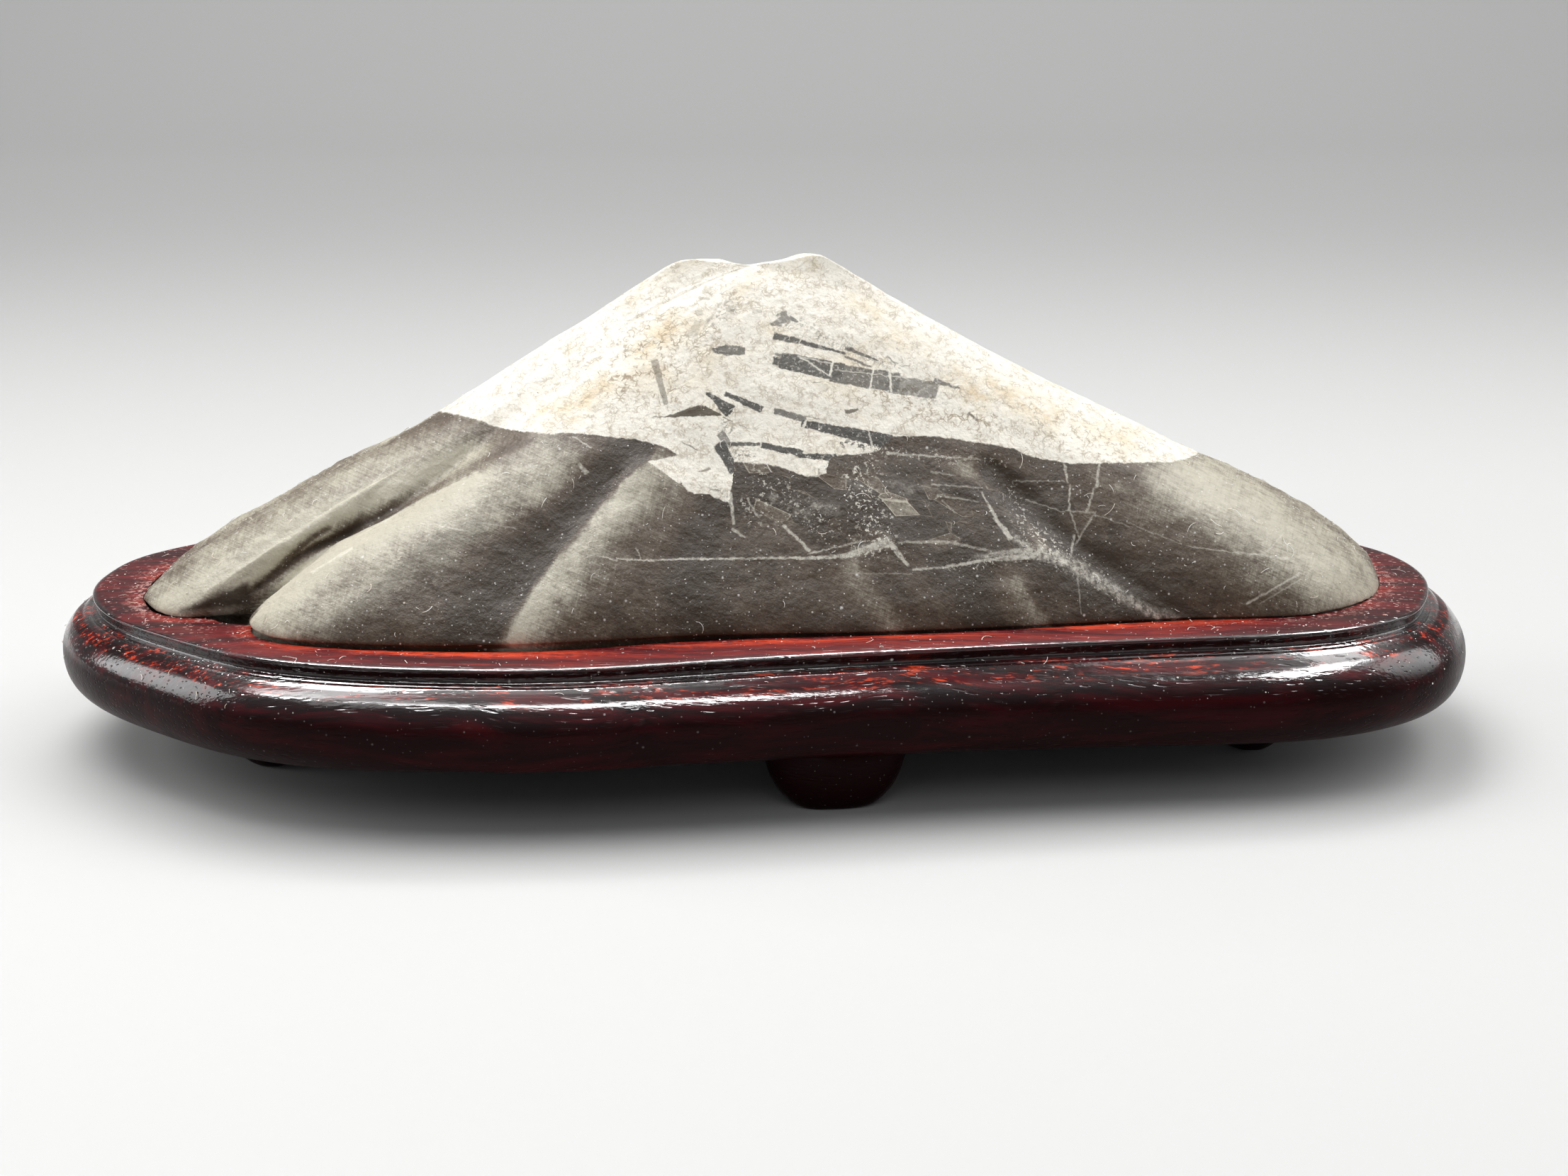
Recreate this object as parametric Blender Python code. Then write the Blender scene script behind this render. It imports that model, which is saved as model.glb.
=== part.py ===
"""A mountain-shaped scholar's rock seated in its carved wooden stand.

Two solids: the stone, and the stand cut from one block to fit it. Sizes are in millimetres and the
meshes are scaled to metres when they are made. +X runs along the stone to the right, -Y is its front,
+Z is up, and the stand's feet rest on Z = 0.
"""

import math

import bmesh
import bpy
import numpy as np

MM = 0.001

# ---------------------------------------------------------------- driving sizes, stand
LEDGE_TOP = 19.7        # height of the ledge round the stone
WELL_FLOOR = 15.8       # bottom of the recess that holds the stone
UNDERSIDE = 7.3         # flat underside between the feet
SEAT_GAP = 0.35         # clearance between the stone and the recess
STAND_HALF = (83.0, 34.0)   # half length and half depth of the rim, for spacing the stations
PLAN_CENTRE = (0.22, -2.46)   # middle of the stand in the plan that the outlines are drawn on: the origin
STAND_STATIONS = 98

# Rim outline in plan, going round from the right end over the back.
RIM_OUTLINE = [
    (83.0, 2.0), (80.8, 16.0), (70.5, 26.5), (51.0, 31.0), (26.0, 31.6), (0.0, 31.0), (-26.0, 31.4),
    (-51.0, 30.0), (-70.0, 24.5), (-80.9, 14.0), (-83.6, 3.0), (-82.2, -7.0), (-77.0, -16.4),
    (-68.0, -25.0), (-57.0, -32.8), (-44.0, -36.6), (-29.0, -36.9), (-13.0, -35.2), (6.0, -32.2),
    (27.0, -28.8), (46.0, -25.9), (60.0, -23.9), (70.0, -20.2), (78.0, -13.0),
]

# Moulding from the rim's upper edge round the side to the underside: offset outwards, height. The step
# between the upright rim and the side is the entry at STEP_INDEX.
STEP_INDEX = 5
MOULDING = [
    (-0.55, 19.62), (0.0, 19.25), (-0.45, 18.45), (-0.35, 17.75), (0.25, 17.35), (0.7, 17.42),
    (1.7, 17.0), (2.8, 16.1), (3.65, 14.7), (4.0, 12.9), (3.75, 10.7), (2.95, 9.0), (1.2, 7.75),
    (-1.6, UNDERSIDE),
]

# The right end of the block is fuller and hangs lower than the rest: extra width and drop of its side.
RIGHT_SWELL = 1.1
RIGHT_DROP = 0.9
RIGHT_FROM, RIGHT_TO = 5.0, 70.0
RECESS_FILLET = 0.3     # rounding at the foot of the recess
LEDGE_ROUND = 0.45      # rounding of the ledge's inner edge
LEDGE_CROWN = 0.1       # rise of the middle of the ledge

# Feet: centre in plan, turn in degrees, width along the rim.
FEET = [(8.0, -26.5, 5.0, 16.5), (-61.0, -11.0, -50.0, 15.0), (61.0, -5.0, 55.0, 15.0),
        (-38.0, 24.5, 0.0, 16.0), (40.0, 25.0, 0.0, 16.0)]
FOOT_DEPTH = 8.0
FOOT_SIDES = 12
# Height, share of the width and share of the depth of each section of a foot.
FOOT_SECTIONS = [(0.0, 0.52, 0.62), (0.5, 0.64, 0.74), (2.4, 0.88, 0.9), (5.0, 1.0, 1.0), (9.2, 1.08, 1.05)]

# ---------------------------------------------------------------- driving sizes, stone
STONE_BOTTOM = WELL_FLOOR + SEAT_GAP
STONE_HALF = (77.0, 27.0)
STONE_STATIONS = 108
FLANK_RINGS = 18
RING_CROWDING = 1.25        # how much closer the rings lie towards the foot
SHARP_ANGLE = 50.0          # edges steeper than this many degrees stay crisp
EYE = (2.2, -260.0, 88.3)   # point from which the front face is laid out
EYE_TILT = 15.0             # degrees that the line of sight looks down
EYE_REACH = 260.0           # distance from the eye to the sheet on which the face is laid out
SHEET_ZERO = (2.2, 21.0)    # across and up on the sheet where the line of sight meets it

# Outline of the stone at its widest, in plan, going round from the right end over the back. The dip
# after the left end is the mouth of the small hollow.
STONE_OUTLINE = [
    (76.9, 1.0), (76.0, 9.5), (72.2, 16.8), (65.0, 21.6), (53.0, 24.2), (38.0, 24.9), (22.0, 24.3),
    (6.0, 24.7), (-10.0, 25.2), (-26.0, 24.5), (-42.0, 24.2), (-56.0, 22.4), (-67.0, 18.0),
    (-73.8, 10.5), (-76.7, 2.0), (-76.2, -6.0), (-74.2, -12.4), (-71.4, -16.4), (-67.4, -18.1),
    (-61.0, -17.2), (-56.6, -16.7), (-57.0, -18.4), (-59.6, -20.8), (-58.9, -23.9), (-56.2, -27.4),
    (-51.7, -29.5), (-45.0, -30.7), (-37.5, -31.2), (-29.3, -30.9), (-22.0, -29.7), (-14.2, -28.1),
    (-6.3, -27.0), (1.7, -26.2), (10.3, -25.6), (26.0, -23.2), (43.0, -20.0), (54.0, -18.5),
    (62.0, -17.6), (67.0, -15.2), (71.0, -11.8), (74.2, -7.2),
]
HOLLOW_POINTS = slice(19, 22)   # the points above that bend into the hollow
HOLLOW_RISE = (0.45, 0.97)      # share of the way down the slope over which the hollow's mouth opens

# Height of the widest line, and how far the stone draws in below it, against the compass angle.
GIRTH_HEIGHT = [(-180, 18.5), (-176.4, 18.6), (-173, 19.7), (-170.5, 20.3), (-167, 20.0), (-165.3, 19.9),
                (-164.7, 20.8), (-164.1, 22.5), (-163.4, 23.0), (-162.2, 22.4), (-160.8, 20.9), (-155, 20.8),
                (-90, 20.6), (-10, 20.2), (0, 19.4), (10, 20.2), (90, 21.0), (172, 19.8), (180, 18.5)]
DRAW_IN = [(-180, 2.2), (-172, 4.5), (-168, 7.5), (-164.5, 8.5), (-162, 6.0), (-160, 2.2), (-155, 0.9),
           (-90, 0.7), (0, 0.8), (90, 0.8), (170, 1.2), (180, 2.2)]

# Top of the stone: two knobs with a shallow saddle between them, height along X.
CREST_CENTRE_X = -1.3
CREST_HALF = (9.7, 3.0)
CREST_RINGS = (0.35, 0.75)      # share of the way out of the rings on the crest
CREST_ROUND = 0.2               # drop of the crest's edge all round
CREST_SIDE_DROP = 0.5           # further drop of its front and back edges
CREST = [(-13.0, 58.2), (-10.6, 59.5), (-8.8, 59.75), (-7.9, 59.4), (-6.6, 59.6), (-4.5, 59.2), (-2.7, 58.8),
         (-0.1, 59.15), (1.6, 59.3), (3.6, 60.0), (5.4, 60.3), (7.9, 59.7), (10.0, 58.4)]

# Side profiles: share of the way out from the crest, share of the height.
LEFT_PROFILE = [(0, 1), (0.05, 0.955), (0.11, 0.887), (0.26, 0.742), (0.5, 0.499), (0.74, 0.3),
                (0.905, 0.138), (0.97, 0.06), (1, 0)]
RIGHT_PROFILE = [(0, 1), (0.19, 0.808), (0.44, 0.589), (0.67, 0.403), (0.83, 0.267), (0.916, 0.168),
                 (0.972, 0.085), (1, 0)]
FRONT_PROFILE = [(0, 1), (0.12, 0.89), (0.35, 0.665), (0.6, 0.425), (0.8, 0.235), (0.92, 0.115),
                 (0.975, 0.05), (1, 0)]
BACK_PROFILE = [(0, 1), (0.12, 0.895), (0.35, 0.675), (0.6, 0.435), (0.8, 0.24), (0.92, 0.12),
                (0.975, 0.05), (1, 0)]

# How far the slope sinks between the end ridges and the front and back faces, as a share of the height.
CORNER_DROP_FRONT, CORNER_DROP_BACK = 0.03, 0.1

# Gullies and ridges fade in over this depth from the crest line. Ridges end flush with the outline, and
# gullies keep a share of their depth there.
FLUTE_FADE = 5.0
RIDGE_FADE_POWER = 5
GULLY_FADE_POWER, GULLY_LEFT = 7, 0.2

# Below the widest line: share of the draw-in and share of the drop to just under the ledge, then inset and
# height of the two rings of the chamfer at the bottom.
UNDERCUT = [(0.35, 0.35), (1.0, 0.75)]
UNDER_LEDGE = 0.4
BOTTOM_CHAMFER = [(1.2, 1.1), (2.6, 0.0)]

# Gullies (depth above 0) and ridges (below 0) laid out on the face seen from EYE: points across and
# up, half width at the top and at the foot, depth at the top and at the foot.
FRONT_FLUTES = [
    ([(-26.6, 39.7), (-35.0, 36.6), (-46.8, 29.8), (-53.6, 27.4), (-61.4, 20.7), (-66.0, 17.0)],
     (1.8, 2.4), (0.6, 3.4)),
    ([(-33.0, 41.6), (-48.0, 33.6), (-61.0, 26.0), (-72.0, 18.5)], (3.5, 3.5), (-0.3, -0.9)),
    ([(-19.0, 38.5), (-32.0, 32.0), (-44.0, 25.0), (-56.0, 15.0)], (5.0, 6.5), (-0.5, -1.6)),
    ([(-14.5, 38.2), (-20.2, 32.1), (-25.3, 27.2), (-29.6, 22.5), (-33.4, 16.5)], (2.3, 3.6), (1.4, 3.0)),
    ([(-11.5, 36.0), (-17.0, 30.8), (-21.7, 26.1), (-25.6, 21.0), (-28.6, 14.8)], (2.4, 3.4), (-0.7, -1.3)),
    ([(17.0, 38.0), (23.1, 34.3), (31.7, 27.6), (41.1, 21.2), (50.0, 16.8)], (2.2, 2.8), (-0.6, -1.2)),
    ([(25.0, 36.4), (31.7, 31.7), (36.0, 28.2), (41.1, 24.4), (46.3, 21.0), (52.0, 17.0)],
     (2.6, 4.2), (1.2, 2.8)),
    ([(11.5, 35.5), (14.1, 27.0), (16.7, 16.0)], (1.6, 2.2), (-0.2, -0.7)),
    ([(3.0, 33.0), (4.5, 26.0), (6.5, 16.0)], (5.0, 6.0), (0.2, 0.6)),
    ([(32.5, 26.5), (34.7, 21.8), (37.0, 16.0)], (1.5, 2.0), (-0.2, -0.6)),
    ([(40.0, 35.0), (52.0, 29.0), (66.0, 21.0)], (6.0, 6.5), (-0.4, -0.9)),
]
BACK_FLUTES = [
    ([(-24.0, 42.0), (-38.0, 33.0), (-52.0, 24.0), (-60.0, 17.0)], (2.4, 3.6), (0.8, 2.2)),
    ([(-14.0, 42.0), (-24.0, 33.0), (-34.0, 23.0), (-38.0, 16.0)], (3.0, 4.5), (-0.4, -1.2)),
    ([(-7.0, 43.0), (-13.0, 33.0), (-18.0, 23.0), (-20.0, 16.0)], (2.2, 3.6), (0.8, 2.0)),
    ([(4.0, 40.0), (7.0, 30.0), (9.0, 16.0)], (4.0, 5.0), (-0.4, -1.0)),
    ([(11.0, 42.0), (19.0, 32.0), (26.0, 23.0), (29.0, 16.0)], (2.4, 3.6), (0.9, 2.2)),
    ([(20.0, 42.0), (34.0, 33.0), (46.0, 24.0), (52.0, 16.0)], (3.0, 4.4), (-0.4, -1.1)),
    ([(30.0, 40.0), (44.0, 33.0), (58.0, 24.0), (66.0, 17.0)], (2.2, 3.4), (0.6, 1.8)),
]


def through(points, x):
    """Value at x of a smooth curve through the (x, y) points that never overshoots, flat beyond its ends."""
    xs, ys = np.array(points, float).T
    steps, rises = np.diff(xs), np.diff(ys) / np.diff(xs)
    before, after = steps[:-1] + 2 * steps[1:], 2 * steps[:-1] + steps[1:]
    turns = rises[:-1] * rises[1:] <= 0.0
    left, right = np.where(turns, 1.0, rises[:-1]), np.where(turns, 1.0, rises[1:])
    middle = np.where(turns, 0.0, (before + after) / (before / left + after / right))
    slopes = np.concatenate([rises[:1], middle, rises[-1:]])
    x = np.clip(x, xs[0], xs[-1])
    i = np.clip(np.searchsorted(xs, x) - 1, 0, len(xs) - 2)
    span = xs[i + 1] - xs[i]
    u = (x - xs[i]) / span
    start = (2 * u**3 - 3 * u**2 + 1) * ys[i] + (u**3 - 2 * u**2 + u) * span * slopes[i]
    end = (3 * u**2 - 2 * u**3) * ys[i + 1] + (u**3 - u**2) * span * slopes[i + 1]
    return start + end


def smooth_loop(points, per_span=12):
    """A closed smooth curve through the points, as a dense polyline."""
    p = np.array(points, float)
    before, after, far = np.roll(p, 1, axis=0), np.roll(p, -1, axis=0), np.roll(p, -2, axis=0)
    u = np.linspace(0.0, 1.0, per_span, endpoint=False)[None, :, None]
    p, before, after, far = (q[:, None, :] for q in (p, before, after, far))
    curve = 0.5 * (2 * p + (after - before) * u + (2 * before - 5 * p + 4 * after - far) * u**2
                   + (3 * p - before - 3 * after + far) * u**3)
    return curve.reshape(-1, 2)


def radius_at(loop, angles):
    """Distance from the origin to a closed curve in each direction."""
    bearing = np.arctan2(loop[:, 1], loop[:, 0])
    order = np.argsort(bearing)
    return np.interp(angles, bearing[order], np.hypot(*loop[order].T), period=2 * math.pi)


def bearings(stations, half):
    """Compass angles of stations spaced evenly round an oval of these half sizes."""
    return np.arctan2(half[1] * np.sin(stations), half[0] * np.cos(stations))


def outline_at(points, angles):
    loop = smooth_loop(points)
    reach = radius_at(loop, angles)
    return np.stack([reach * np.cos(angles), reach * np.sin(angles)], axis=1)


def outward(ring):
    """Unit normals, in plan, of a ring that runs anticlockwise."""
    along = np.roll(ring, -1, axis=0) - np.roll(ring, 1, axis=0)
    normal = np.stack([along[:, 1], -along[:, 0]], axis=1)
    return normal / np.linalg.norm(normal, axis=1)[:, None]


def level(plan, height):
    """A ring at one height."""
    return np.column_stack([plan, np.full(len(plan), height)])


def blend(low, high, x):
    """0 below low, 1 above high, smooth between."""
    u = np.clip((x - low) / (high - low), 0.0, 1.0)
    return u * u * (3 - 2 * u)


def sheet(p):
    """Across and up on the layout sheet of each point: the front as seen from EYE, the back mirrored."""
    tilt = math.radians(EYE_TILT)
    x, y, z = p[..., 0] - EYE[0], -np.abs(p[..., 1]) - EYE[1], p[..., 2] - EYE[2]
    forward = y * math.cos(tilt) - z * math.sin(tilt)
    upward = y * math.sin(tilt) + z * math.cos(tilt)
    return SHEET_ZERO[0] + EYE_REACH * x / forward, SHEET_ZERO[1] + EYE_REACH * upward / forward


def flute_depth(p, flutes):
    """How far the gullies and ridges sink each point of the face."""
    across, up = sheet(p)
    here = np.stack([across, up], axis=-1)
    sunk = np.zeros(across.shape)
    for line, widths, depths in flutes:
        line = np.array(line, float)
        spans = np.linalg.norm(np.diff(line, axis=0), axis=1)
        travelled = np.concatenate([[0.0], np.cumsum(spans)]) / spans.sum()
        nearest = np.full(across.shape, 1e9)
        share = np.zeros(across.shape)
        for i, span in enumerate(spans):
            along = (line[i + 1] - line[i]) / span
            reach = np.clip((here - line[i]) @ along, 0.0, span)
            gap = np.linalg.norm(here - line[i] - reach[..., None] * along, axis=-1)
            closer = gap < nearest
            nearest = np.where(closer, gap, nearest)
            share = np.where(closer, travelled[i] + reach / span * (travelled[i + 1] - travelled[i]), share)
        width = widths[0] + (widths[1] - widths[0]) * share
        depth = (depths[0] + (depths[1] - depths[0]) * share) * blend(0.0, 0.3, share)
        sunk += depth * np.exp(-((nearest / width) ** 2))
    return sunk


def stone_bearings():
    """Compass angles of the stations round the stone, closer together round the hollow."""
    fine = np.linspace(-math.pi, math.pi, 3601)
    hollow = math.radians(-164.2)
    t_hollow = math.atan2(math.sin(hollow) / STONE_HALF[1], math.cos(hollow) / STONE_HALF[0])
    nearness = np.exp(-(((fine - t_hollow) / math.radians(9.0)) ** 2))
    density = 1.0 + 3.2 * nearness + 5.0 * nearness**12 + 0.25 * (fine < 0)
    share = np.concatenate([[0.0], np.cumsum((density[1:] + density[:-1]) / 2)])
    stations = np.interp(np.arange(STONE_STATIONS) / STONE_STATIONS, share / share[-1], fine)
    return bearings(stations, STONE_HALF)


def without_hollow():
    """The stone's outline, straight across the mouth of its hollow."""
    return STONE_OUTLINE[:HOLLOW_POINTS.start] + STONE_OUTLINE[HOLLOW_POINTS.stop:]


def stone_rings():
    """Rings of points from the middle of the crest down the flanks and under to the flat bottom."""
    angles = stone_bearings()
    girth = outline_at(STONE_OUTLINE, angles)
    whole = outline_at(without_hollow(), angles)
    degrees = np.degrees(angles)
    low = through(GIRTH_HEIGHT, degrees)
    turn = np.arctan2(np.sin(angles) / CREST_HALF[1], np.cos(angles) / CREST_HALF[0])
    crest = np.stack([CREST_CENTRE_X + CREST_HALF[0] * np.cos(turn), CREST_HALF[1] * np.sin(turn)], axis=1)

    lean = np.arctan2(girth[:, 1] / STONE_HALF[1], girth[:, 0] / STONE_HALF[0])
    weights = [np.clip(-np.cos(lean), 0, 1) ** 2, np.clip(np.cos(lean), 0, 1) ** 2,
               np.clip(-np.sin(lean), 0, 1) ** 2, np.clip(np.sin(lean), 0, 1) ** 2]
    profiles = [LEFT_PROFILE, RIGHT_PROFILE, FRONT_PROFILE, BACK_PROFILE]
    corner = np.sin(2 * lean) ** 2 * np.where(girth[:, 1] > 0, CORNER_DROP_BACK, CORNER_DROP_FRONT)
    inward = crest - girth
    inward /= np.linalg.norm(inward, axis=1)[:, None]

    rings = []
    for share in CREST_RINGS:
        plan = crest * share + (CREST_CENTRE_X * (1.0 - share), 0.0)
        rings.append(np.column_stack([plan, through(CREST, plan[:, 0]) - CREST_ROUND * share**2]))
    top = through(CREST, crest[:, 0]) - CREST_ROUND - CREST_SIDE_DROP * np.abs(np.sin(turn))
    for step in np.linspace(0.0, 1.0, FLANK_RINGS):
        share = 1.0 - (1.0 - step) ** RING_CROWDING
        foot = whole + (girth - whole) * blend(*HOLLOW_RISE, share)
        plan = crest + (foot - crest) * share
        fall = sum(w * through(profile, share) for w, profile in zip(weights, profiles))
        fall -= corner * 4.0 * share * (1.0 - share)
        ring = np.column_stack([plan, low + (top - low) * fall])
        front = flute_depth(ring, FRONT_FLUTES) * blend(0.0, FLUTE_FADE, -ring[:, 1])
        back = flute_depth(ring, BACK_FLUTES) * blend(0.0, FLUTE_FADE, ring[:, 1])
        sunk = front + back
        gully = 1.0 - (1.0 - GULLY_LEFT) * share**GULLY_FADE_POWER
        sunk *= np.where(sunk > 0.0, gully, 1.0 - share**RIDGE_FADE_POWER)
        ring[:, :2] += inward * sunk[:, None]
        rings.append(ring)

    draw = through(DRAW_IN, degrees)
    last = rings[-1][:, :2]
    for share, drop in UNDERCUT:
        height = low + (LEDGE_TOP - UNDER_LEDGE - low) * drop
        rings.append(np.column_stack([last + inward * (draw * share)[:, None], height]))
    for inset, rise in BOTTOM_CHAMFER:
        plan = last + inward * (draw + inset)[:, None]
        rings.append(level(plan, STONE_BOTTOM + rise))
    return rings


def solid_from_rings(name, rings, top, bottom):
    """A closed mesh of stacked rings of equal length, closed by a point above and a point below."""
    mesh = bpy.data.meshes.new(name)
    bm = bmesh.new()
    origin = np.array((*PLAN_CENTRE, 0.0))
    loops = [[bm.verts.new((point - origin) * MM) for point in ring] for ring in rings]
    count = len(loops[0])
    for upper, lower in zip(loops, loops[1:]):
        for i in range(count):
            j = (i + 1) % count
            bm.faces.new((upper[i], lower[i], lower[j], upper[j]))
    for ring, tip in ((loops[0], top), (loops[-1], bottom)):
        centre = bm.verts.new((np.array(tip) - origin) * MM)
        for i in range(count):
            bm.faces.new((ring[i], ring[(i + 1) % count], centre))
    bmesh.ops.recalc_face_normals(bm, faces=bm.faces)
    bm.to_mesh(mesh)
    bm.free()
    mesh.shade_smooth()
    mesh.set_sharp_from_angle(angle=math.radians(SHARP_ANGLE))
    body = bpy.data.objects.new(name, mesh)
    bpy.context.scene.collection.objects.link(body)
    return body


def surface(name, colour, roughness, coat=0.0):
    """A plain finish: base colour, roughness and a clear coat."""
    material = bpy.data.materials.new(name)
    material.use_nodes = True
    shader = material.node_tree.nodes["Principled BSDF"]
    shader.inputs["Base Color"].default_value = (*colour, 1.0)
    shader.inputs["Roughness"].default_value = roughness
    shader.inputs["Metallic"].default_value = 0.0
    shader.inputs["Coat Weight"].default_value = coat
    return material


def make_stone():
    rings = stone_rings()
    top = (CREST_CENTRE_X, 0.0, float(through(CREST, CREST_CENTRE_X)))
    stone = solid_from_rings("stone", rings, top, (-2.0, -1.0, STONE_BOTTOM))
    stone.data.materials.append(surface("grey-brown stone", (0.17, 0.15, 0.125), 0.5))
    return stone


def seat_outline(angles):
    """Outline of the recess: the stone's outline without its hollow, plus the clearance."""
    ring = outline_at(without_hollow(), angles)
    return ring + outward(ring) * SEAT_GAP


def make_foot(x, y, turn, width):
    """One foot: a rounded block that narrows towards the ground, its head sunk into the stand."""
    stations = np.linspace(0.0, 2 * math.pi, FOOT_SIDES, endpoint=False)
    oval = np.stack([np.sign(np.cos(stations)) * np.abs(np.cos(stations)) ** 0.7,
                     np.sign(np.sin(stations)) * np.abs(np.sin(stations)) ** 0.7], axis=1)
    angle = math.radians(turn)
    spin = np.array([[math.cos(angle), -math.sin(angle)], [math.sin(angle), math.cos(angle)]])
    rings = []
    for height, wide, deep in reversed(FOOT_SECTIONS):
        plan = (oval * (width / 2 * wide, FOOT_DEPTH / 2 * deep)) @ spin.T + (x, y)
        rings.append(level(plan, height))
    return solid_from_rings("foot cutter", rings, (x, y, FOOT_SECTIONS[-1][0]), (x, y, 0.0))


def make_stand():
    stations = np.linspace(-math.pi, math.pi, STAND_STATIONS, endpoint=False)
    angles = bearings(stations, STAND_HALF)
    rim = outline_at(RIM_OUTLINE, angles)
    normal = outward(rim)
    seat = seat_outline(angles)
    rings = [
        level(seat - outward(seat) * RECESS_FILLET, WELL_FLOOR),
        level(seat, WELL_FLOOR + RECESS_FILLET),
        level(seat, LEDGE_TOP - LEDGE_ROUND),
        level(seat + outward(seat) * LEDGE_ROUND, LEDGE_TOP),
        level((seat + rim) / 2, LEDGE_TOP + LEDGE_CROWN),
    ]
    right = blend(RIGHT_FROM, RIGHT_TO, rim[:, 0])
    step_height = MOULDING[STEP_INDEX][1]
    for offset, height in MOULDING:
        lowness = blend(0.0, 1.0, (step_height - height) / (step_height - UNDERSIDE))
        plan = rim + normal * (offset + RIGHT_SWELL * right * math.sin(math.pi * lowness / 1.3))[:, None]
        rings.append(np.column_stack([plan, height - RIGHT_DROP * right * lowness]))
    stand = solid_from_rings("stand", rings, (-2.0, -2.0, WELL_FLOOR), (0.0, 0.0, UNDERSIDE))
    for place in FEET:
        foot = make_foot(*place)
        foot.hide_render = True
        foot.display_type = "WIRE"
        join = stand.modifiers.new("foot", "BOOLEAN")
        join.operation = "UNION"
        join.solver = "EXACT"
        join.object = foot
    stand.data.materials.append(surface("lacquered rosewood", (0.09, 0.012, 0.01), 0.25, coat=0.8))
    return stand


def clear_scene():
    for thing in list(bpy.data.objects):
        bpy.data.objects.remove(thing, do_unlink=True)


clear_scene()
make_stand()
make_stone()
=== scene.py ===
"""A mountain-shaped viewing stone with a white cap, in its moulded and lacquered wooden stand.

The stone and the stand start as copies of the solids in the frame. They are smoothed and shaped further
here, and get their finishes: the markings of the stone are laid out in millimetres on a flat sheet as the
face is seen from in front, and a node group reads that sheet from the object's own coordinates.
"""

import math
import random

import bmesh
import bpy
import numpy as np
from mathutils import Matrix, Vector, noise
from mathutils.bvhtree import BVHTree


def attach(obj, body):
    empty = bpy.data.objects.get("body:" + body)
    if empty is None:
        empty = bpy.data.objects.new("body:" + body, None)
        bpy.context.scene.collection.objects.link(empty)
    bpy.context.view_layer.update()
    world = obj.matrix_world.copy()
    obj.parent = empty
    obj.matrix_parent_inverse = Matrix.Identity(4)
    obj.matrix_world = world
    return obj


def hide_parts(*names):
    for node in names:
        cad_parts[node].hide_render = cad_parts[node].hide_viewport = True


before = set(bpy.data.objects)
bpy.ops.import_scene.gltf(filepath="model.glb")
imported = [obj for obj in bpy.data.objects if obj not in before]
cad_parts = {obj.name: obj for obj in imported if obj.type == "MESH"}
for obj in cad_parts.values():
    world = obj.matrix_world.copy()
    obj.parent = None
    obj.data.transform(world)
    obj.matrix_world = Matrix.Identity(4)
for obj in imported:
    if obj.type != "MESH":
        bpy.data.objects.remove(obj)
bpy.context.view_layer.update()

bl_info = {
    "name": "Viewing stone on a stand",
    "version": (1, 0, 0),
    "blender": (4, 5, 0),
    "location": "3D View > Sidebar > Stone",
    "description": "Builds a mountain-shaped viewing stone, its lacquered stand and a plain stage",
    "category": "Object",
}

MM = 0.001              # lengths below are in millimetres unless they say metres

# ---------------------------------------------------------------- smoothing the solids
MERGE_WITHIN = 1e-6     # metres within which two corners are one
QUAD_ANGLE = math.radians(70.0)   # how unlike a flat square a joined pair of triangles may be
FIT_ROUNDS = 2          # rounds of moving a solid's corners before it is subdivided
FIT_SHARE = 0.8         # share of the way that a round moves them
FIT_FROM = 9.0          # height above which they are moved, clear of the flat undersides

# ---------------------------------------------------------------- the stone's surface
CALM_ROUNDS, CALM_PULL = 44, 0.6    # rounds that smooth the cap, and how far one round draws a corner
CALM_UP = (37.5, 41.0)  # up the sheet, where the smoothing fades in
CALM_Y = (0.2, -2.0)    # in front of the crest line, where it fades in
CLEAR_OF_STAND = (19.6, 22.0)   # heights over which the shaping fades in
FRONT_FADE = 4.0        # in front of the crest line, where the front's shaping is whole
CAP_FADE = (37.0, 42.0)         # up the sheet, from the rough slopes to the even cap
RIDGE_FADE, CREASE_FADE = 0.25, 0.1   # share of a line's length over which it fades in
CREASE_DEPTH, CAP_DEPTH = 0.35, 0.05  # how far the creases and the cap are pressed in
GROOVE_REACH, GROOVE_DEPTH = 0.55, 0.45   # half width and depth of the cleft
GROOVE_IN, GROOVE_OUT = (0.3, 0.6), (1.0, 0.94)   # shares of its length where it deepens and runs out
FINE_LUMPS, BROAD_LUMPS, CREST_LUMPS = (2.2, 0.1), (9.0, 0.3), (1.3, 0.25)   # size, height
CREST_REACH = 3.0       # half width of the rougher strip along the crest line
CAP_EVENNESS = 0.6      # share of the broad lumps that the cap loses
BACK_PALE, BACK_CHANGE, BACK_SIZE = 0.45, 0.35, 16.0   # how pale the back is, its change, and over what size

# ---------------------------------------------------------------- the stand's surface
RECESS_NEAR, RECESS_FAR = 1.5, 2.6   # distances from the stone that the ledge's edge is drawn in from
RECESS_GAP = 0.03       # what is left between the stone and the ledge
RECESS_FLOOR, RECESS_WHOLE, RECESS_TOP = 16.0, 18.6, 20.0   # heights: from, in full from, and to
INNER_NEAR, INNER_FAR = 1.2, 2.6     # distances from the stone between which the ledge's red fades
INNER_FROM = 18.5       # height above which that distance is looked up
BEAD_AT, BEAD_REACH, BEAD_RISE = 17.5, 0.2, 0.25   # height, half width and rise of the shoulder's bead
BEAD_FACING = 0.2       # least upward share of a normal that carries the bead
DIP, DIP_AT, DIP_REACH = 0.65, -22.0, 15.0   # dip in the front of the stand: depth, place and half length
DIP_Y, DIP_FROM = (-20.0, -27.0), (8.0, 9.0)   # where it fades in, towards the front and upwards
DIP_ABOVE, DIP_BELOW = 0.6, 0.4      # share of it at the ledge, and what is added at the side
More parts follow.
